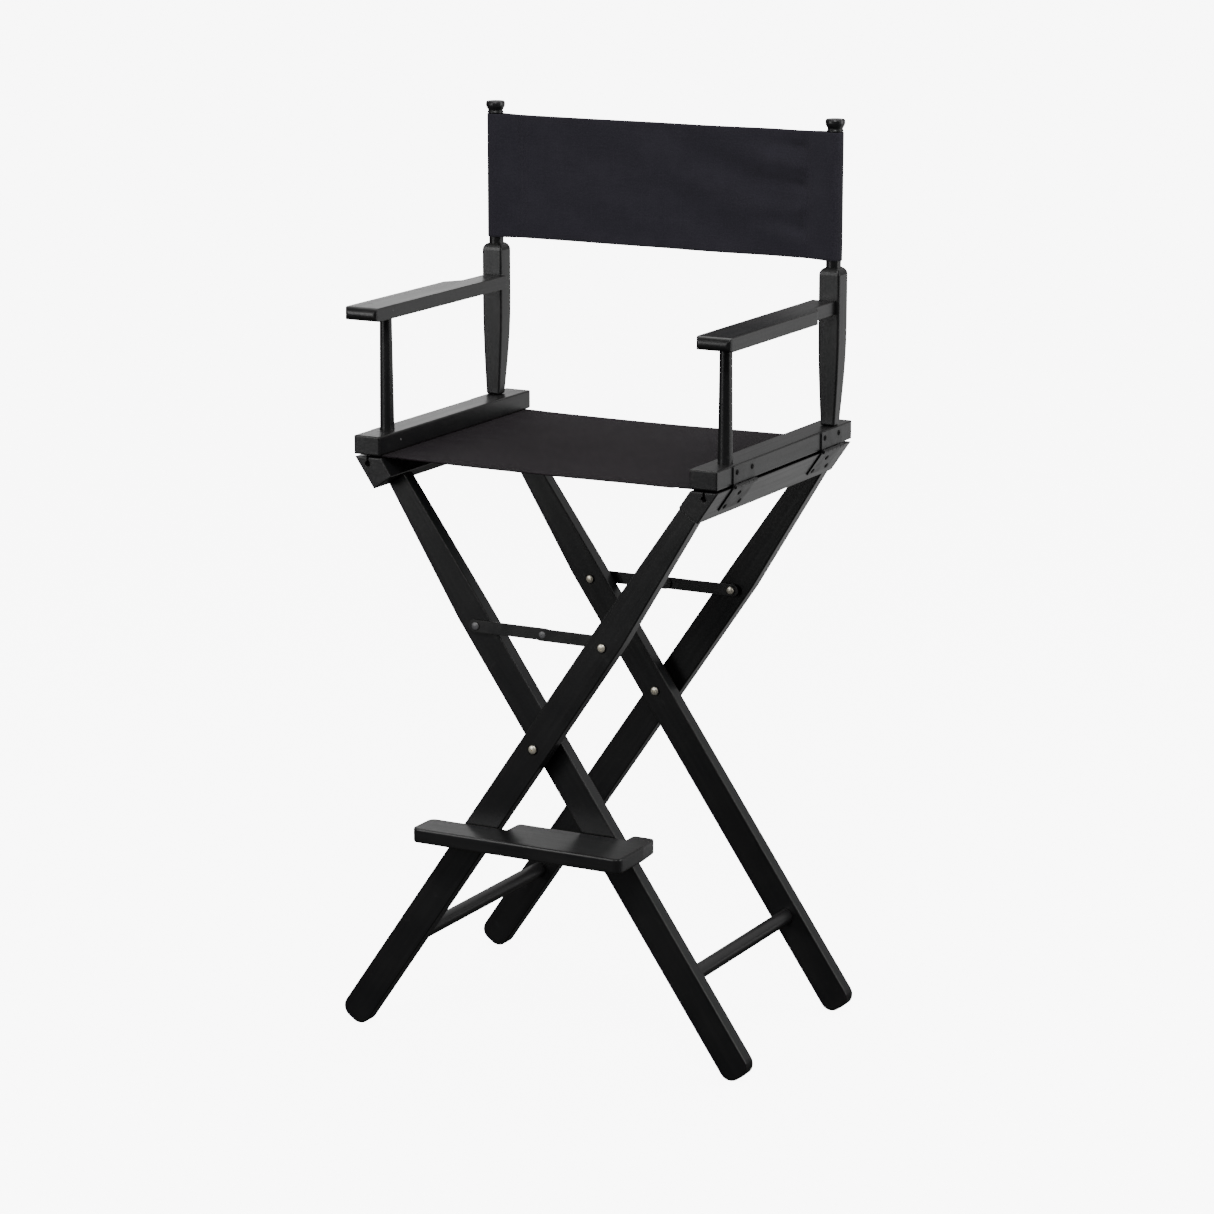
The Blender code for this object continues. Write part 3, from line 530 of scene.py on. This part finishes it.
def facing(point, direction, turn=0.0):
    """The place of a head that stands on point and faces direction."""
    spin = Vector(direction).to_track_quat("Z", "Y").to_matrix().to_4x4()
    return Matrix.Translation(point) @ spin @ Matrix.Rotation(turn, 4, "Z")


# ---- cloth --------------------------------------------------------------------------------------
RIM = 0.42  # how far the round edge stands out, as a share of the cloth's thickness
STITCH_RADIUS, STITCH_LENGTH, STITCH_PITCH = 0.00026, 0.0026, 0.0036
STITCH_SIDES = 6
# share of the length, then width and rise as shares of the radius
STITCH_SHAPE = ((0.0, 0.0, -0.6), (0.18, 0.8, 0.1), (0.5, 1.0, 0.45), (0.82, 0.8, 0.1), (1.0, 0.0, -0.6))
PUCKER_PITCH = 0.0108  # three stitches


def smooth_step(low, high, value):
    share = min(1.0, max(0.0, (value - low) / (high - low)))
    return share * share * (3 - 2 * share)


def hump(distance, width):
    return exp(-((distance / width) ** 2))


def cloth_shell(name, line, rows, place, half, surface):
    """A closed sheet. line holds (length along the cloth, point, normal) and rows the distances across it.

    place(index, row, offset) gives a point at that offset from the middle of the cloth.
    half(index, row) gives how far the front and the back lie from the middle.
    """
    cols, count = len(line), len(rows)
    points, faces, maps = [], [], []
    for layer in (0, 1):
        for i in range(cols):
            for row in rows:
                front, back = half(i, row)
                points.append(place(i, row, front if layer == 0 else -back))
                maps.append((line[i][0], row))

    def at(layer, i, j):
        return (layer * cols + i) * count + j

    for i in range(cols - 1):
        for j in range(count - 1):
            faces.append((at(0, i, j), at(0, i + 1, j), at(0, i + 1, j + 1), at(0, i, j + 1)))
            faces.append((at(1, i, j), at(1, i, j + 1), at(1, i + 1, j + 1), at(1, i + 1, j)))
    # the round edge: a line of points a little beyond the rim, joined to both layers
    border = [(i, 0) for i in range(cols)] + [(cols - 1, j) for j in range(1, count)]
    border += [(i, count - 1) for i in range(cols - 2, -1, -1)] + [(0, j) for j in range(count - 2, 0, -1)]
    first = len(points)
    for i, j in border:
        front, back = half(i, rows[j])
        beyond = RIM * (front + back)
        row = rows[j] - beyond if j == 0 else rows[j] + beyond if j == count - 1 else rows[j]
        points.append(place(i, row, (front - back) / 2))
        maps.append((line[i][0], row))
    for k, (i, j) in enumerate(border):
        n = (k + 1) % len(border)
        i2, j2 = border[n]
        faces.append((at(0, i, j), first + k, first + n, at(0, i2, j2)))
        faces.append((at(1, i2, j2), first + n, first + k, at(1, i, j)))
    made = object_of(name, points, faces, surface)
    mesh = made.data
    bm = bmesh.new()
    bm.from_mesh(mesh)
    bmesh.ops.recalc_face_normals(bm, faces=bm.faces)
    layer = bm.loops.layers.uv.new("cloth")
    for face in bm.faces:
        for loop in face.loops:
            loop[layer].uv = maps[loop.vert.index]
    bm.to_mesh(mesh)
    bm.free()
    mesh.set_sharp_from_angle(angle=radians(70))
    return made


def measured(line):
    """Adds the length along the line and the normal on its left to each of its points."""
    rows, total = [], 0.0
    for k, point in enumerate(line):
        if k:
            total += (point - line[k - 1]).length
        ahead = (line[min(k + 1, len(line) - 1)] - line[max(k - 1, 0)]).normalized()
        rows.append((total, point, Vector((-ahead.y, ahead.x))))
    return rows


def one_stitch(middle, ahead, up, points, faces):
    """Adds a raised grain of thread that lies along ahead."""
    side = ahead.cross(up)
    rings = []
    for share, wide, lift in STITCH_SHAPE:
        centre = middle + ahead * STITCH_LENGTH * (share - 0.5) + up * STITCH_RADIUS * lift
        if not wide:
            rings.append([len(points)])
            points.append(centre)
            continue
        ring = []
        for k in range(STITCH_SIDES):
            angle = 2 * pi * k / STITCH_SIDES
            ring.append(len(points))
            points.append(centre + STITCH_RADIUS * wide * (side * cos(angle) + up * sin(angle)))
        rings.append(ring)
    for low, high in zip(rings, rings[1:]):
        for k in range(STITCH_SIDES):
            corners = [low[k % len(low)], high[k % len(high)]]
            corners += [high[(k + 1) % len(high)], low[(k + 1) % len(low)]]
            faces.append(list(dict.fromkeys(corners)))


def stitches(name, runs, surface):
    """Sewing along each run, a list of (point, outward) pairs."""
    points, faces = [], []
    for run in runs:
        gone, target = 0.0, STITCH_PITCH / 2
        for (a, out), (b, _) in zip(run, run[1:]):
            span = (b - a).length
            while span and target <= gone + span:
                ahead = (b - a) / span
                up = (out - ahead * out.dot(ahead)).normalized()
                one_stitch(a + ahead * (target - gone), ahead, up, points, faces)
                target += STITCH_PITCH
            gone += span
    made = object_of(name, points, faces, surface, sharp=90)
    bm = bmesh.new()
    bm.from_mesh(made.data)
    bmesh.ops.recalc_face_normals(bm, faces=bm.faces)
    bm.to_mesh(made.data)
    bm.free()
    return made


# ---- back canvas --------------------------------------------------------------------------------
BACK_HALF = 0.00052  # half the thickness of the cloth
BACK_LAY = BACK_HALF + 0.00006  # from the plane of the dowels to the middle of either layer
BACK_SEAM = 0.2068  # where the sleeve's two layers part
BACK_END = 0.1945  # where the turned-back layer is cut
BACK_STITCHES = (0.1985, 0.2050)
BACK_FLAT = 0.186  # up to here the mesh is coarse
BACK_STEPS = (0.0042, 0.0011)  # of the mesh on the flat and at the sleeve
BACK_LEVELS = 44
BACK_DENT, BACK_DENT_WIDTH = 0.00105, 0.0019
BACK_CREASE = (0.236, 0.2105)  # distances from the chair's middle, made into two points that nothing uses
BACK_CREASE_Z = 1.06
BACK_SEWING_MARGIN = 0.001
SLEEVE_CLEARANCE = 0.0004
SLEEVE_TURNS = 30

# folds at the right and left seams: height over the cloth's middle, slope, width and depth
RIGHT_FOLDS = (
    (0.058, 0.05, 0.0062, 0.0037),
    (0.034, 0.16, 0.0075, -0.0036),
    (0.010, 0.10, 0.0070, 0.0040),
    (-0.018, -0.04, 0.0085, -0.0036),
    (-0.046, 0.22, 0.0080, 0.0038),
)
LEFT_FOLDS = ((0.046, -0.10, 0.0090, 0.0012), (-0.035, 0.12, 0.010, -0.0011))
RIGHT_FOLD_REACH, LEFT_FOLD_REACH = 0.055, 0.040
FOLD_SPREAD = 0.06  # a fold widens by this share of its distance from the seam
SEAM_EASE = (-0.012, 0.004)  # a fold rises over these distances from the seam
DIAGONAL_PITCH = 0.150
DIAGONAL_DEPTH, BACK_BUMPS, BACK_BELLY = 0.0019, 0.0030, 0.0009
BACK_WAVES = (0.216, 0.150)  # the waves grow between these distances from the chair's middle
MIDDLE_STRIP = 0.045  # half the width of the calmer strip where the halves meet
MIDDLE_SHARE = 0.12  # of the waves, left in the middle of that strip

dowel_low, dowel_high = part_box("right_back_dowel")
DOWEL_X = (dowel_low.x + dowel_high.x) / 2
DOWEL_Y = (dowel_low.y + dowel_high.y) / 2
DOWEL_RADIUS = (dowel_high.x - dowel_low.x) / 2
BACK_LOW, BACK_HIGH = (corner.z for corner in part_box("back_canvas_right"))


def seam_folds(folds, away, up, reach):
    """Slack folds that start at a seam and die out over reach. away is the distance from the seam."""
    fade = exp(-max(0.0, away) / reach) * smooth_step(*SEAM_EASE, away)
    rest = 0.0
    for start, slope, width, size in folds:
        rest += size * fade * hump(up - start - slope * away, width + FOLD_SPREAD * max(0.0, away))
    return rest


def back_ripple(x, z):
    """How far the stretched cloth stands out of its plane towards the rear."""
    up = z - (BACK_LOW + BACK_HIGH) / 2
    level = up / (BACK_HIGH - BACK_LOW)
    rest = seam_folds(RIGHT_FOLDS, BACK_STITCHES[0] - x, up, RIGHT_FOLD_REACH)
    rest += seam_folds(LEFT_FOLDS, BACK_STITCHES[0] + x, up, LEFT_FOLD_REACH)
    # calm at the sleeves, and in the middle, where the halves meet
    calm = MIDDLE_SHARE + (1 - MIDDLE_SHARE) * smooth_step(0.0, MIDDLE_STRIP, abs(x))
    inside = smooth_step(*BACK_WAVES, abs(x)) * calm
    diagonal = sin((x * 0.80 + z * 1.9) * 2 * pi / DIAGONAL_PITCH)
    rest += DIAGONAL_DEPTH * inside * diagonal * smooth_step(-0.15, 0.15, x + 0.05)
    rest += BACK_BUMPS * inside * noise.noise(Vector((x * 9, z * 12, 3.7)))
    rest += BACK_BELLY * inside * (1 - (2 * level) ** 2)
    return rest


def back_dent(x, z, side):
    """The stitch lines pull the cloth in, more at each stitch."""
    pull = 0.0
    for number, line in enumerate(BACK_STITCHES):
        pucker = 0.75 + 0.25 * sin(z * 2 * pi / PUCKER_PITCH + 2 * number + side)
        pull += BACK_DENT * pucker * hump(abs(x) - line, BACK_DENT_WIDTH)
    return pull


def back_half(word, side):
    """Half of the back, with its sleeve round the dowel, and its sewing."""
    ring = DOWEL_RADIUS + BACK_HALF + SLEEVE_CLEARANCE
    away = DOWEL_X - BACK_SEAM
    open_angle = acos(ring / hypot(away, BACK_LAY)) + atan2(BACK_LAY, away)
    corners = [(0, -BACK_LAY), (BACK_SEAM, -BACK_LAY)]
    for k in range(SLEEVE_TURNS + 1):
        angle = (pi - open_angle) * (2 * k / SLEEVE_TURNS - 1)
        corners.append((DOWEL_X + ring * cos(angle), ring * sin(angle)))
    corners += [(BACK_SEAM, BACK_LAY), (BACK_END, BACK_LAY)]
    flat = rounded_path([(0, -BACK_LAY), (BACK_FLAT, -BACK_LAY)], BACK_STEPS[0], 0)
    sleeve = rounded_path([(BACK_FLAT, -BACK_LAY), *corners[1:]], BACK_STEPS[1], 4)
    line = measured(flat + sleeve[1:])
    rows = [BACK_LOW + (BACK_HIGH - BACK_LOW) * j / BACK_LEVELS for j in range(BACK_LEVELS + 1)]
    rows = [rows[0] + BACK_HALF, *rows[1:-1], rows[-1] - BACK_HALF]

    def place(i, z, offset):
        _, point, normal = line[i]
        out = point - normal * offset
        behind = smooth_step(-0.0004, 0.0004, point.y)  # 0 on the front layer, 1 on the rear one
        dent = back_dent(point.x, z, side) * (1 - 2 * behind)
        return (side * out.x, DOWEL_Y + out.y + back_ripple(side * point.x, z) + dent, z)

    def half(i, z):
        return BACK_HALF, BACK_HALF

    cloth = cloth_shell(f"back_cloth_{word}", line, rows, place, half, BACK_CLOTH)
    runs = []
    first, last = BACK_LOW + BACK_SEWING_MARGIN, BACK_HIGH - BACK_SEWING_MARGIN
    for x in BACK_STITCHES:
        for way in (-1, 1):
            run = []
            for j in range(BACK_LEVELS + 1):
                z = first + (last - first) * j / BACK_LEVELS
                surface = way * (BACK_LAY + BACK_HALF) - way * back_dent(x, z, side)
                y = DOWEL_Y + surface + back_ripple(side * x, z)
                run.append((Vector((side * x, y, z)), Vector((0, way, 0))))
            runs.append(run)
    sewing = stitches(f"back_cloth_{word}_stitches", runs, THREAD)
    start, end = (Vector((side * x, DOWEL_Y, BACK_CREASE_Z)) for x in BACK_CREASE)
    for piece in (cloth, sewing):
        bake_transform(piece)
        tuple(start)
        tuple(end)
    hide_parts(f"back_canvas_{word}")


# ---- seat canvas --------------------------------------------------------------------------------
SEAT_HALF = 0.00045  # half the thickness of the cloth
SEAT_TOP_LAYER = 0.74715  # height of the middle of the cloth
SEAT_GAP = 0.00004  # half the gap between two layers
SEAT_LOW_LAYER = SEAT_TOP_LAYER - 2 * SEAT_HALF - 2 * SEAT_GAP
SEAT_END = 0.1965  # where the turned-back layer is cut
SEAT_SIDE_STITCH = 0.2035
SEAT_HEM = 0.0105
SEAT_HEM_STITCH = 0.0082
SEAT_FLAT = 0.190  # up to here the mesh is coarse
SEAT_STEPS = (0.0050, 0.0007)  # of the mesh on the flat and at the rail
SEAT_SLOT = 0.2120  # where the cloth turns down into the rail's slot
SEAT_ROWS = 40
SEAT_EDGE_ROWS = (0.0, 0.0018, 0.0050, 0.0073, 0.0082, 0.0091, 0.0102, 0.0112, 0.0140, 0.0180)
SEAT_DENT, SEAT_DENT_WIDTH = 0.00016, 0.0011
SEAT_CREASE = (0.2155, 0.1960)  # distances from the chair's middle, made into two points that nothing uses
SEAT_CREASE_Z = 0.7465
SEAT_SEWING_MARGIN = 0.002
SEAT_SAG, SEAT_SAG_REACH = 0.0016, 0.214
SEAT_BUMPS = 0.0014
SEAT_PUCKERS, SEAT_PUCKER_PITCH = 0.0005, 0.046
SEAT_PUCKER_LINE, SEAT_PUCKER_REACH = 0.2, 0.045
SIDE_RUN_STEPS, HEM_RUN_STEPS = 80, 60
HEM_RUN_END = SEAT_SIDE_STITCH - 0.006
ROD_TURNS = 22
ROD_OPENING = 0.30  # half the angle that the loop leaves open above the rod
ROD_CLEARANCE = 0.00012
LOOP_NECK = 0.0009  # from the top of the loop up to where its two layers run side by side

rod_low, rod_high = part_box("right_seat_rod")
ROD_X, ROD_Z = (rod_low.x + rod_high.x) / 2, (rod_low.z + rod_high.z) / 2
ROD_RADIUS = (rod_high.x - rod_low.x) / 2
SEAT_FRONT, SEAT_BACK = rod_low.y, rod_high.y


def seat_ripple(x, y):
    """Height of the cloth over its stretched plane: a slight sag, and puckers that start at the rails."""
    fade = smooth_step(SEAT_SLOT + 0.0005, 0.185, abs(x))
    sag = -SEAT_SAG * (1 - (x / SEAT_SAG_REACH) ** 2)
    wide = SEAT_BUMPS * noise.noise(Vector((x * 6 + 8, y * 9, 1.3)))
    phase = y * 2 * pi / SEAT_PUCKER_PITCH + 1.4 * sin(31 * y)
    pull = SEAT_PUCKERS * hump(SEAT_PUCKER_LINE - abs(x), SEAT_PUCKER_REACH) * sin(phase)
    return fade * (sag + wide + pull)


def seat_dent(x, y):
    """The stitch lines pull the cloth in."""
    edge = min(y - SEAT_FRONT, SEAT_BACK - y)
    pucker = 0.8 + 0.2 * sin((x + y) * 2 * pi / PUCKER_PITCH)
    lines = hump(abs(x) - SEAT_SIDE_STITCH, SEAT_DENT_WIDTH) + hump(edge - SEAT_HEM_STITCH, SEAT_DENT_WIDTH)
    return SEAT_DENT * pucker * lines


def one_layer(x):
    """1 where the seat is one layer thick, 0 by the rail, where its end is turned back under it."""
    return smooth_step(SEAT_END - 0.003, SEAT_END - 0.008, x)


def seat_half(word, side):
    """Half of the seat, with its loop round the rod in the lower rail, and its sewing."""
    gap = SEAT_HALF + SEAT_GAP
    ring = ROD_RADIUS + SEAT_HALF + ROD_CLEARANCE
    neck = ROD_Z + ring + LOOP_NECK
    corners = [(ROD_X + gap, SEAT_TOP_LAYER), (ROD_X + gap, neck)]
    for k in range(1, ROD_TURNS):
        angle = pi / 2 - ROD_OPENING - (2 * pi - 2 * ROD_OPENING) * k / ROD_TURNS
        corners.append((ROD_X + ring * cos(angle), ROD_Z + ring * sin(angle)))
    corners += [(ROD_X - gap, neck), (ROD_X - gap, SEAT_LOW_LAYER), (SEAT_END, SEAT_LOW_LAYER)]
    flat = rounded_path([(0, SEAT_TOP_LAYER), (SEAT_FLAT, SEAT_TOP_LAYER)], SEAT_STEPS[0], 0)
    hem = rounded_path([(SEAT_FLAT, SEAT_TOP_LAYER), *corners], SEAT_STEPS[1], 2)
    line = measured(flat + hem[1:])
    inner_end = next(k for k, row in enumerate(line) if row[1].x > SEAT_SLOT)
    first, last = SEAT_FRONT + SEAT_EDGE_ROWS[-1], SEAT_BACK - SEAT_EDGE_ROWS[-1]
    rows = [SEAT_FRONT + d for d in SEAT_EDGE_ROWS]
    rows += [first + (last - first) * j / SEAT_ROWS for j in range(1, SEAT_ROWS)]
    rows += [SEAT_BACK - d for d in reversed(SEAT_EDGE_ROWS)]
    rows = [rows[0] + SEAT_HALF, *rows[1:-1], rows[-1] - SEAT_HALF]

    def half(i, y):
        """The upper layer is twice as thick along the front and rear hems, below."""
        edge = min(y - SEAT_FRONT, SEAT_BACK - y)
        fold = smooth_step(SEAT_HEM + 0.0007, SEAT_HEM - 0.0007, edge)
        room = one_layer(line[i][1].x) if i <= inner_end else 0.0
        return SEAT_HALF, SEAT_HALF * (1 + 2 * fold * room)

    def place(i, y, offset):
        _, point, normal = line[i]
        out = point + normal * offset
        dent = seat_dent(point.x, y) * (-1 if i <= inner_end else 1)
        dent *= smooth_step(SEAT_SLOT + 0.0005, SEAT_SLOT - 0.003, point.x)
        return (side * out.x, y, out.y + seat_ripple(side * point.x, y) + dent)

    cloth = cloth_shell(f"seat_cloth_{word}", line, rows, place, half, SEAT_CLOTH)
    runs = []
    first, last = SEAT_FRONT + SEAT_SEWING_MARGIN, SEAT_BACK - SEAT_SEWING_MARGIN
    for up in (1, -1):
        run = []
        for j in range(SIDE_RUN_STEPS + 1):
            y = first + (last - first) * j / SIDE_RUN_STEPS
            layer = SEAT_TOP_LAYER if up > 0 else SEAT_LOW_LAYER
            z = layer + up * (SEAT_HALF - seat_dent(SEAT_SIDE_STITCH, y))
            z += seat_ripple(side * SEAT_SIDE_STITCH, y)
            run.append((Vector((side * SEAT_SIDE_STITCH, y, z)), Vector((0, 0, up))))
        runs.append(run)
        for edge in (SEAT_FRONT + SEAT_HEM_STITCH, SEAT_BACK - SEAT_HEM_STITCH):
            run = []
            for j in range(HEM_RUN_STEPS + 1):
                x = HEM_RUN_END * j / HEM_RUN_STEPS
                below = SEAT_HALF * (1 + 2 * one_layer(x))
                reach = SEAT_HALF if up > 0 else below
                z = SEAT_TOP_LAYER + up * reach - seat_dent(x, edge) + seat_ripple(side * x, edge)
                run.append((Vector((side * x, edge, z)), Vector((0, 0, up))))
            runs.append(run)
    sewing = stitches(f"seat_cloth_{word}_stitches", runs, THREAD)
    start, end = (Vector((side * x, 0, SEAT_CREASE_Z)) for x in SEAT_CREASE)
    for piece in (cloth, sewing):
        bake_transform(piece)
        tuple(start)
        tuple(end)
    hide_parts(f"seat_canvas_{word}", f"{word}_seat_hem")


# ---- fasteners ----------------------------------------------------------------------------------
PIVOT_Z = centre_of("front_pivot_bolt").z
SEAT_RAIL_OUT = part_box("right_seat_rail")[1].x + 0.0003
BACK_POST_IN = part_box("right_back_post")[0].x

PIVOT_SHANK, STAY_SHANK = 0.0039, 0.0029  # radii
PIVOT_HEAD, STAY_HEAD = 0.0056, 0.0053
BOLT_RISE = 0.0030  # from the wood up to the top of a head
BOLT_CROWN = 0.0011  # from the wood up to the foot of the crown
BOLT_CROSS = (0.0026, 0.00095, 0.0016)  # reach, width and depth
RIVET_RISE = 0.0029  # from the top of a rivet's head down to the strap
LINK_RIVET_RISE = 0.0013  # from the top of a middle rivet's head down to its link
LINK_RIVET_HEAD, LINK_RIVET_CROWN = 0.0047, 0.00145
LINK_RIVET_CROSS = (0.001, 0.0004, 0.0002)

LEAF_THICK = 0.0015
LOWER_LEAF_OUT = 0.0138  # of the lower leaf's face from the legs' middle line
SCREW_HEAD = 0.0034
SCREW_CROSS = (0.0021, 0.0008, 0.0009)
UPPER_SCREWS_Z = 0.7630
UPPER_SCREWS = (-0.0205, 0.0205)  # along the rail from the leaf's middle
LOWER_SCREWS = ((0.0, 0.4160), (-0.0200, 0.3985), (0.0200, 0.3985))  # along the rail, and up the legs
# screw heads darker than the leaves' paint: black oxide, darkened further as painted shade for their
# recesses
SCREW = black_steel("black_screw_painted_shade", shade=0.30, level=0.12, gloss=-0.2)

BRAD_HEAD = 0.0014
BRAD_CROSS = (0.0004, 0.0003, 0.0002)
BRADS = ((0.2200, -0.1245, 0.9235), (0.2150, -0.1186, 0.7610), (BACK_POST_IN, 0.1800, 0.9228))

RAIL_FOOT = 0.380  # distance of the lower rails' underside up the legs from the crossing
FILL_THICK = 0.0196
FILL_ACROSS = (-0.0172, 0.0087)
FILL_UP = (RAIL_FOOT - 0.0014, RAIL_FOOT + 0.0010)


def dome(radius, height, base, steps=6):
    """A head's crown as (radius, height) corners, from its rim up to the axis."""
    angles = [pi / 2 * k / steps for k in range(steps)]
    return [(radius * cos(a), base + height * sin(a)) for a in angles] + [(0, base + height)]


def bright_bolt(node, body):
    """A bolt with a crowned cross head in a black cup washer. Its shank fills the CAD bolt's."""
    low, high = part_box(node)
    centre, deep = (low + high) / 2, high.y - low.y
    radius, head = (PIVOT_SHANK, PIVOT_HEAD) if "pivot" in node else (STAY_SHANK, STAY_HEAD)
    cup = (high.x - low.x) / 2
    end = BOLT_RISE - deep
    profile = [(0, end), (radius - 0.0004, end), (radius, end + 0.0004), (radius, 0.0004)]
    profile += [(head - 0.0003, 0.0004), (head, 0.0007)] + dome(head, BOLT_RISE - BOLT_CROWN, BOLT_CROWN)
    mesh = turned_head(node + "_shape", profile, sides=48, recess=BOLT_CROSS)
    turn = 0.55 + 1.7 * centre.x + 2.3 * centre.z  # each bolt is tightened to its own angle
    spot = facing((centre.x, low.y + BOLT_RISE, centre.z), (0, -1, 0), turn)
    bolt = placed_copies(node + "_bright", mesh, [spot], NICKEL)
    washer = [(head + 0.0002, 0.0003), (cup - 0.0002, 0.0003), (cup, 0.0006), (cup - 0.0001, 0.0011)]
    washer += [(cup - 0.0006, 0.0016), (head + 0.0005, 0.0017), (head + 0.0002, 0.0013)]
    ring = ring_piece(node + "_cup_washer", washer, spot, STEEL)
    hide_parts(node)
    for piece in (bolt, ring):
        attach(piece, body)


def ring_piece(name, section, place, surface, sides=48):
    """A ring with this closed section of (radius, height) corners."""
    points, faces = [], []
    for k in range(sides):
        angle = 2 * pi * k / sides
        points += [place @ Vector((r * cos(angle), r * sin(angle), h)) for r, h in section]
    count = len(section)
    for k in range(sides):
        for j in range(count):
            a, b = k * count, (k + 1) % sides * count
            n = (j + 1) % count
            faces.append((a + j, b + j, b + n, a + n))
    return object_of(name, points, faces, surface, sharp=50)


def hinge_screws():
    """Two screws in each upper hinge leaf and three in each lower one."""
    profile = [(0, -0.0002), (SCREW_HEAD - 0.0002, -0.0002), (SCREW_HEAD, 0.0001)]
    profile += dome(SCREW_HEAD, 0.0007, 0.0003)
    mesh = turned_head("hinge_screw_shape", profile, sides=32, recess=SCREW_CROSS)
    for word, side in SIDES.items():
        for place in ("front", "rear"):
            leaf = f"{word}_{place}_hinge_upper_leaf"
            low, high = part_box(leaf)
            middle = (low.y + high.y) / 2
            outer = SEAT_RAIL_OUT + LEAF_THICK
            spots = []
            for number, dy in enumerate(UPPER_SCREWS):
                turn = 0.4 + 1.1 * number + middle * 9
                spots.append(facing((side * outer, middle + dy, UPPER_SCREWS_Z), (side, 0, 0), turn))
            piece = placed_copies(f"{leaf}_screws", mesh, spots, SCREW)
            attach(piece, f"{word}_side")
            out = Vector((side * cos(TILT), 0, -sin(TILT)))
            along = Vector((side * sin(TILT), 0, cos(TILT)))
            spots = []
            for number, (dy, up) in enumerate(LOWER_SCREWS):
                spot = Vector((0, middle + dy, PIVOT_Z)) + along * up + out * LOWER_LEAF_OUT
                spots.append(facing(spot, out, 0.9 + 0.8 * number - middle * 7))
            piece = placed_copies(f"{word}_{place}_hinge_lower_leaf_screws", mesh, spots, SCREW)
            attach(piece, FRAMES[word])


def brads():
    """Small nails that pin the tenons in the arm, the seat rail and the back post. They show as light dots,
    whose light grey is worn steel and partly a painted highlight.
    """
    profile = [(0, -0.0002), (BRAD_HEAD - 0.0001, -0.0002)] + dome(BRAD_HEAD, 0.00045, 0.0001, 4)
    mesh = turned_head("brad_shape", profile, sides=20, recess=BRAD_CROSS)
    for word, side in SIDES.items():
        spots = [facing((side * x, y, z), (-side, 0, 0)) for x, y, z in BRADS]
        piece = placed_copies(f"{word}_brads", mesh, spots, WORN_AND_GLINT_STEEL)
        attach(piece, f"{word}_side")


def rivet_ring(node, body):
    """The dark shoulder that a bright rivet's head is pressed into."""
    low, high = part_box(node)
    head = (high.x - low.x) / 2
    section = [(head - 0.0004, 0.0), (head + 0.0013, 0.0), (head + 0.0013, 0.0004), (head + 0.0009, 0.0008)]
    section += [(head + 0.0002, 0.0009), (head - 0.0004, 0.0007)]
    spot = facing(((low.x + high.x) / 2, low.y + RIVET_RISE, (low.z + high.z) / 2), (0, -1, 0))
    ring = ring_piece(node + "_shoulder", section, spot, STEEL)
    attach(ring, body)


def link_rivets():
    """The light domes of the rivets in the middle of the stays: paint worn off to bare steel, and partly a
    painted highlight for their glints.
    """
    profile = [(0, 0), (LINK_RIVET_HEAD, 0)] + dome(LINK_RIVET_HEAD, LINK_RIVET_CROWN, 0.0)
    mesh = turned_head("link_rivet_shape", profile, sides=32, recess=LINK_RIVET_CROSS)
    for place, front_link, rear_link in (("front", "outer", "inner"), ("rear", "inner", "outer")):
        for link, way in ((front_link, -1), (rear_link, 1)):
            body = f"{place}_stay_{link}"
            low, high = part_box(f"{body}_link")
            y = low.y + LINK_RIVET_RISE if way < 0 else high.y - LINK_RIVET_RISE
            spot = facing((0, y, (low.z + high.z) / 2), (0, way, 0))
            piece = placed_copies(f"{body}_worn_glint_rivet", mesh, [spot], WORN_AND_GLINT_STEEL, sharp=60)
            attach(piece, body)


def joint_fills():
    """Painted-over glue in the joint between each outer leg's top and the lower rail."""
    left, right = FILL_ACROSS
    low, high = FILL_UP
    for place in ("front", "rear"):
        leg_low, leg_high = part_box(f"outer_{place}_leg")
        middle = (leg_low.y + leg_high.y) / 2
        points = []
        for y in (middle - FILL_THICK / 2, middle + FILL_THICK / 2):
            for across, up in ((left, low), (right, low), (right, high), (left, high)):
                x = up * sin(TILT) + across * cos(TILT)
                points.append((x, y, PIVOT_Z + up * cos(TILT) - across * sin(TILT)))
        fill = object_of(f"outer_{place}_joint_fill", points, BOX_FACES, PAINT["outer_leg"], sharp=30)
        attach(fill, "outer_frame")


for side_word, side_sign in SIDES.items():
    back_half(side_word, side_sign)
    seat_half(side_word, side_sign)
for bolt_node in ("front_pivot_bolt", "rear_pivot_bolt", "front_stay_outer_bolt"):
    bright_bolt(bolt_node, "outer_frame")
bright_bolt("rear_stay_inner_bolt", "inner_frame")
rivet_ring("rear_stay_outer_rivet", "outer_frame")
link_rivets()
joint_fills()
hinge_screws()
brads()
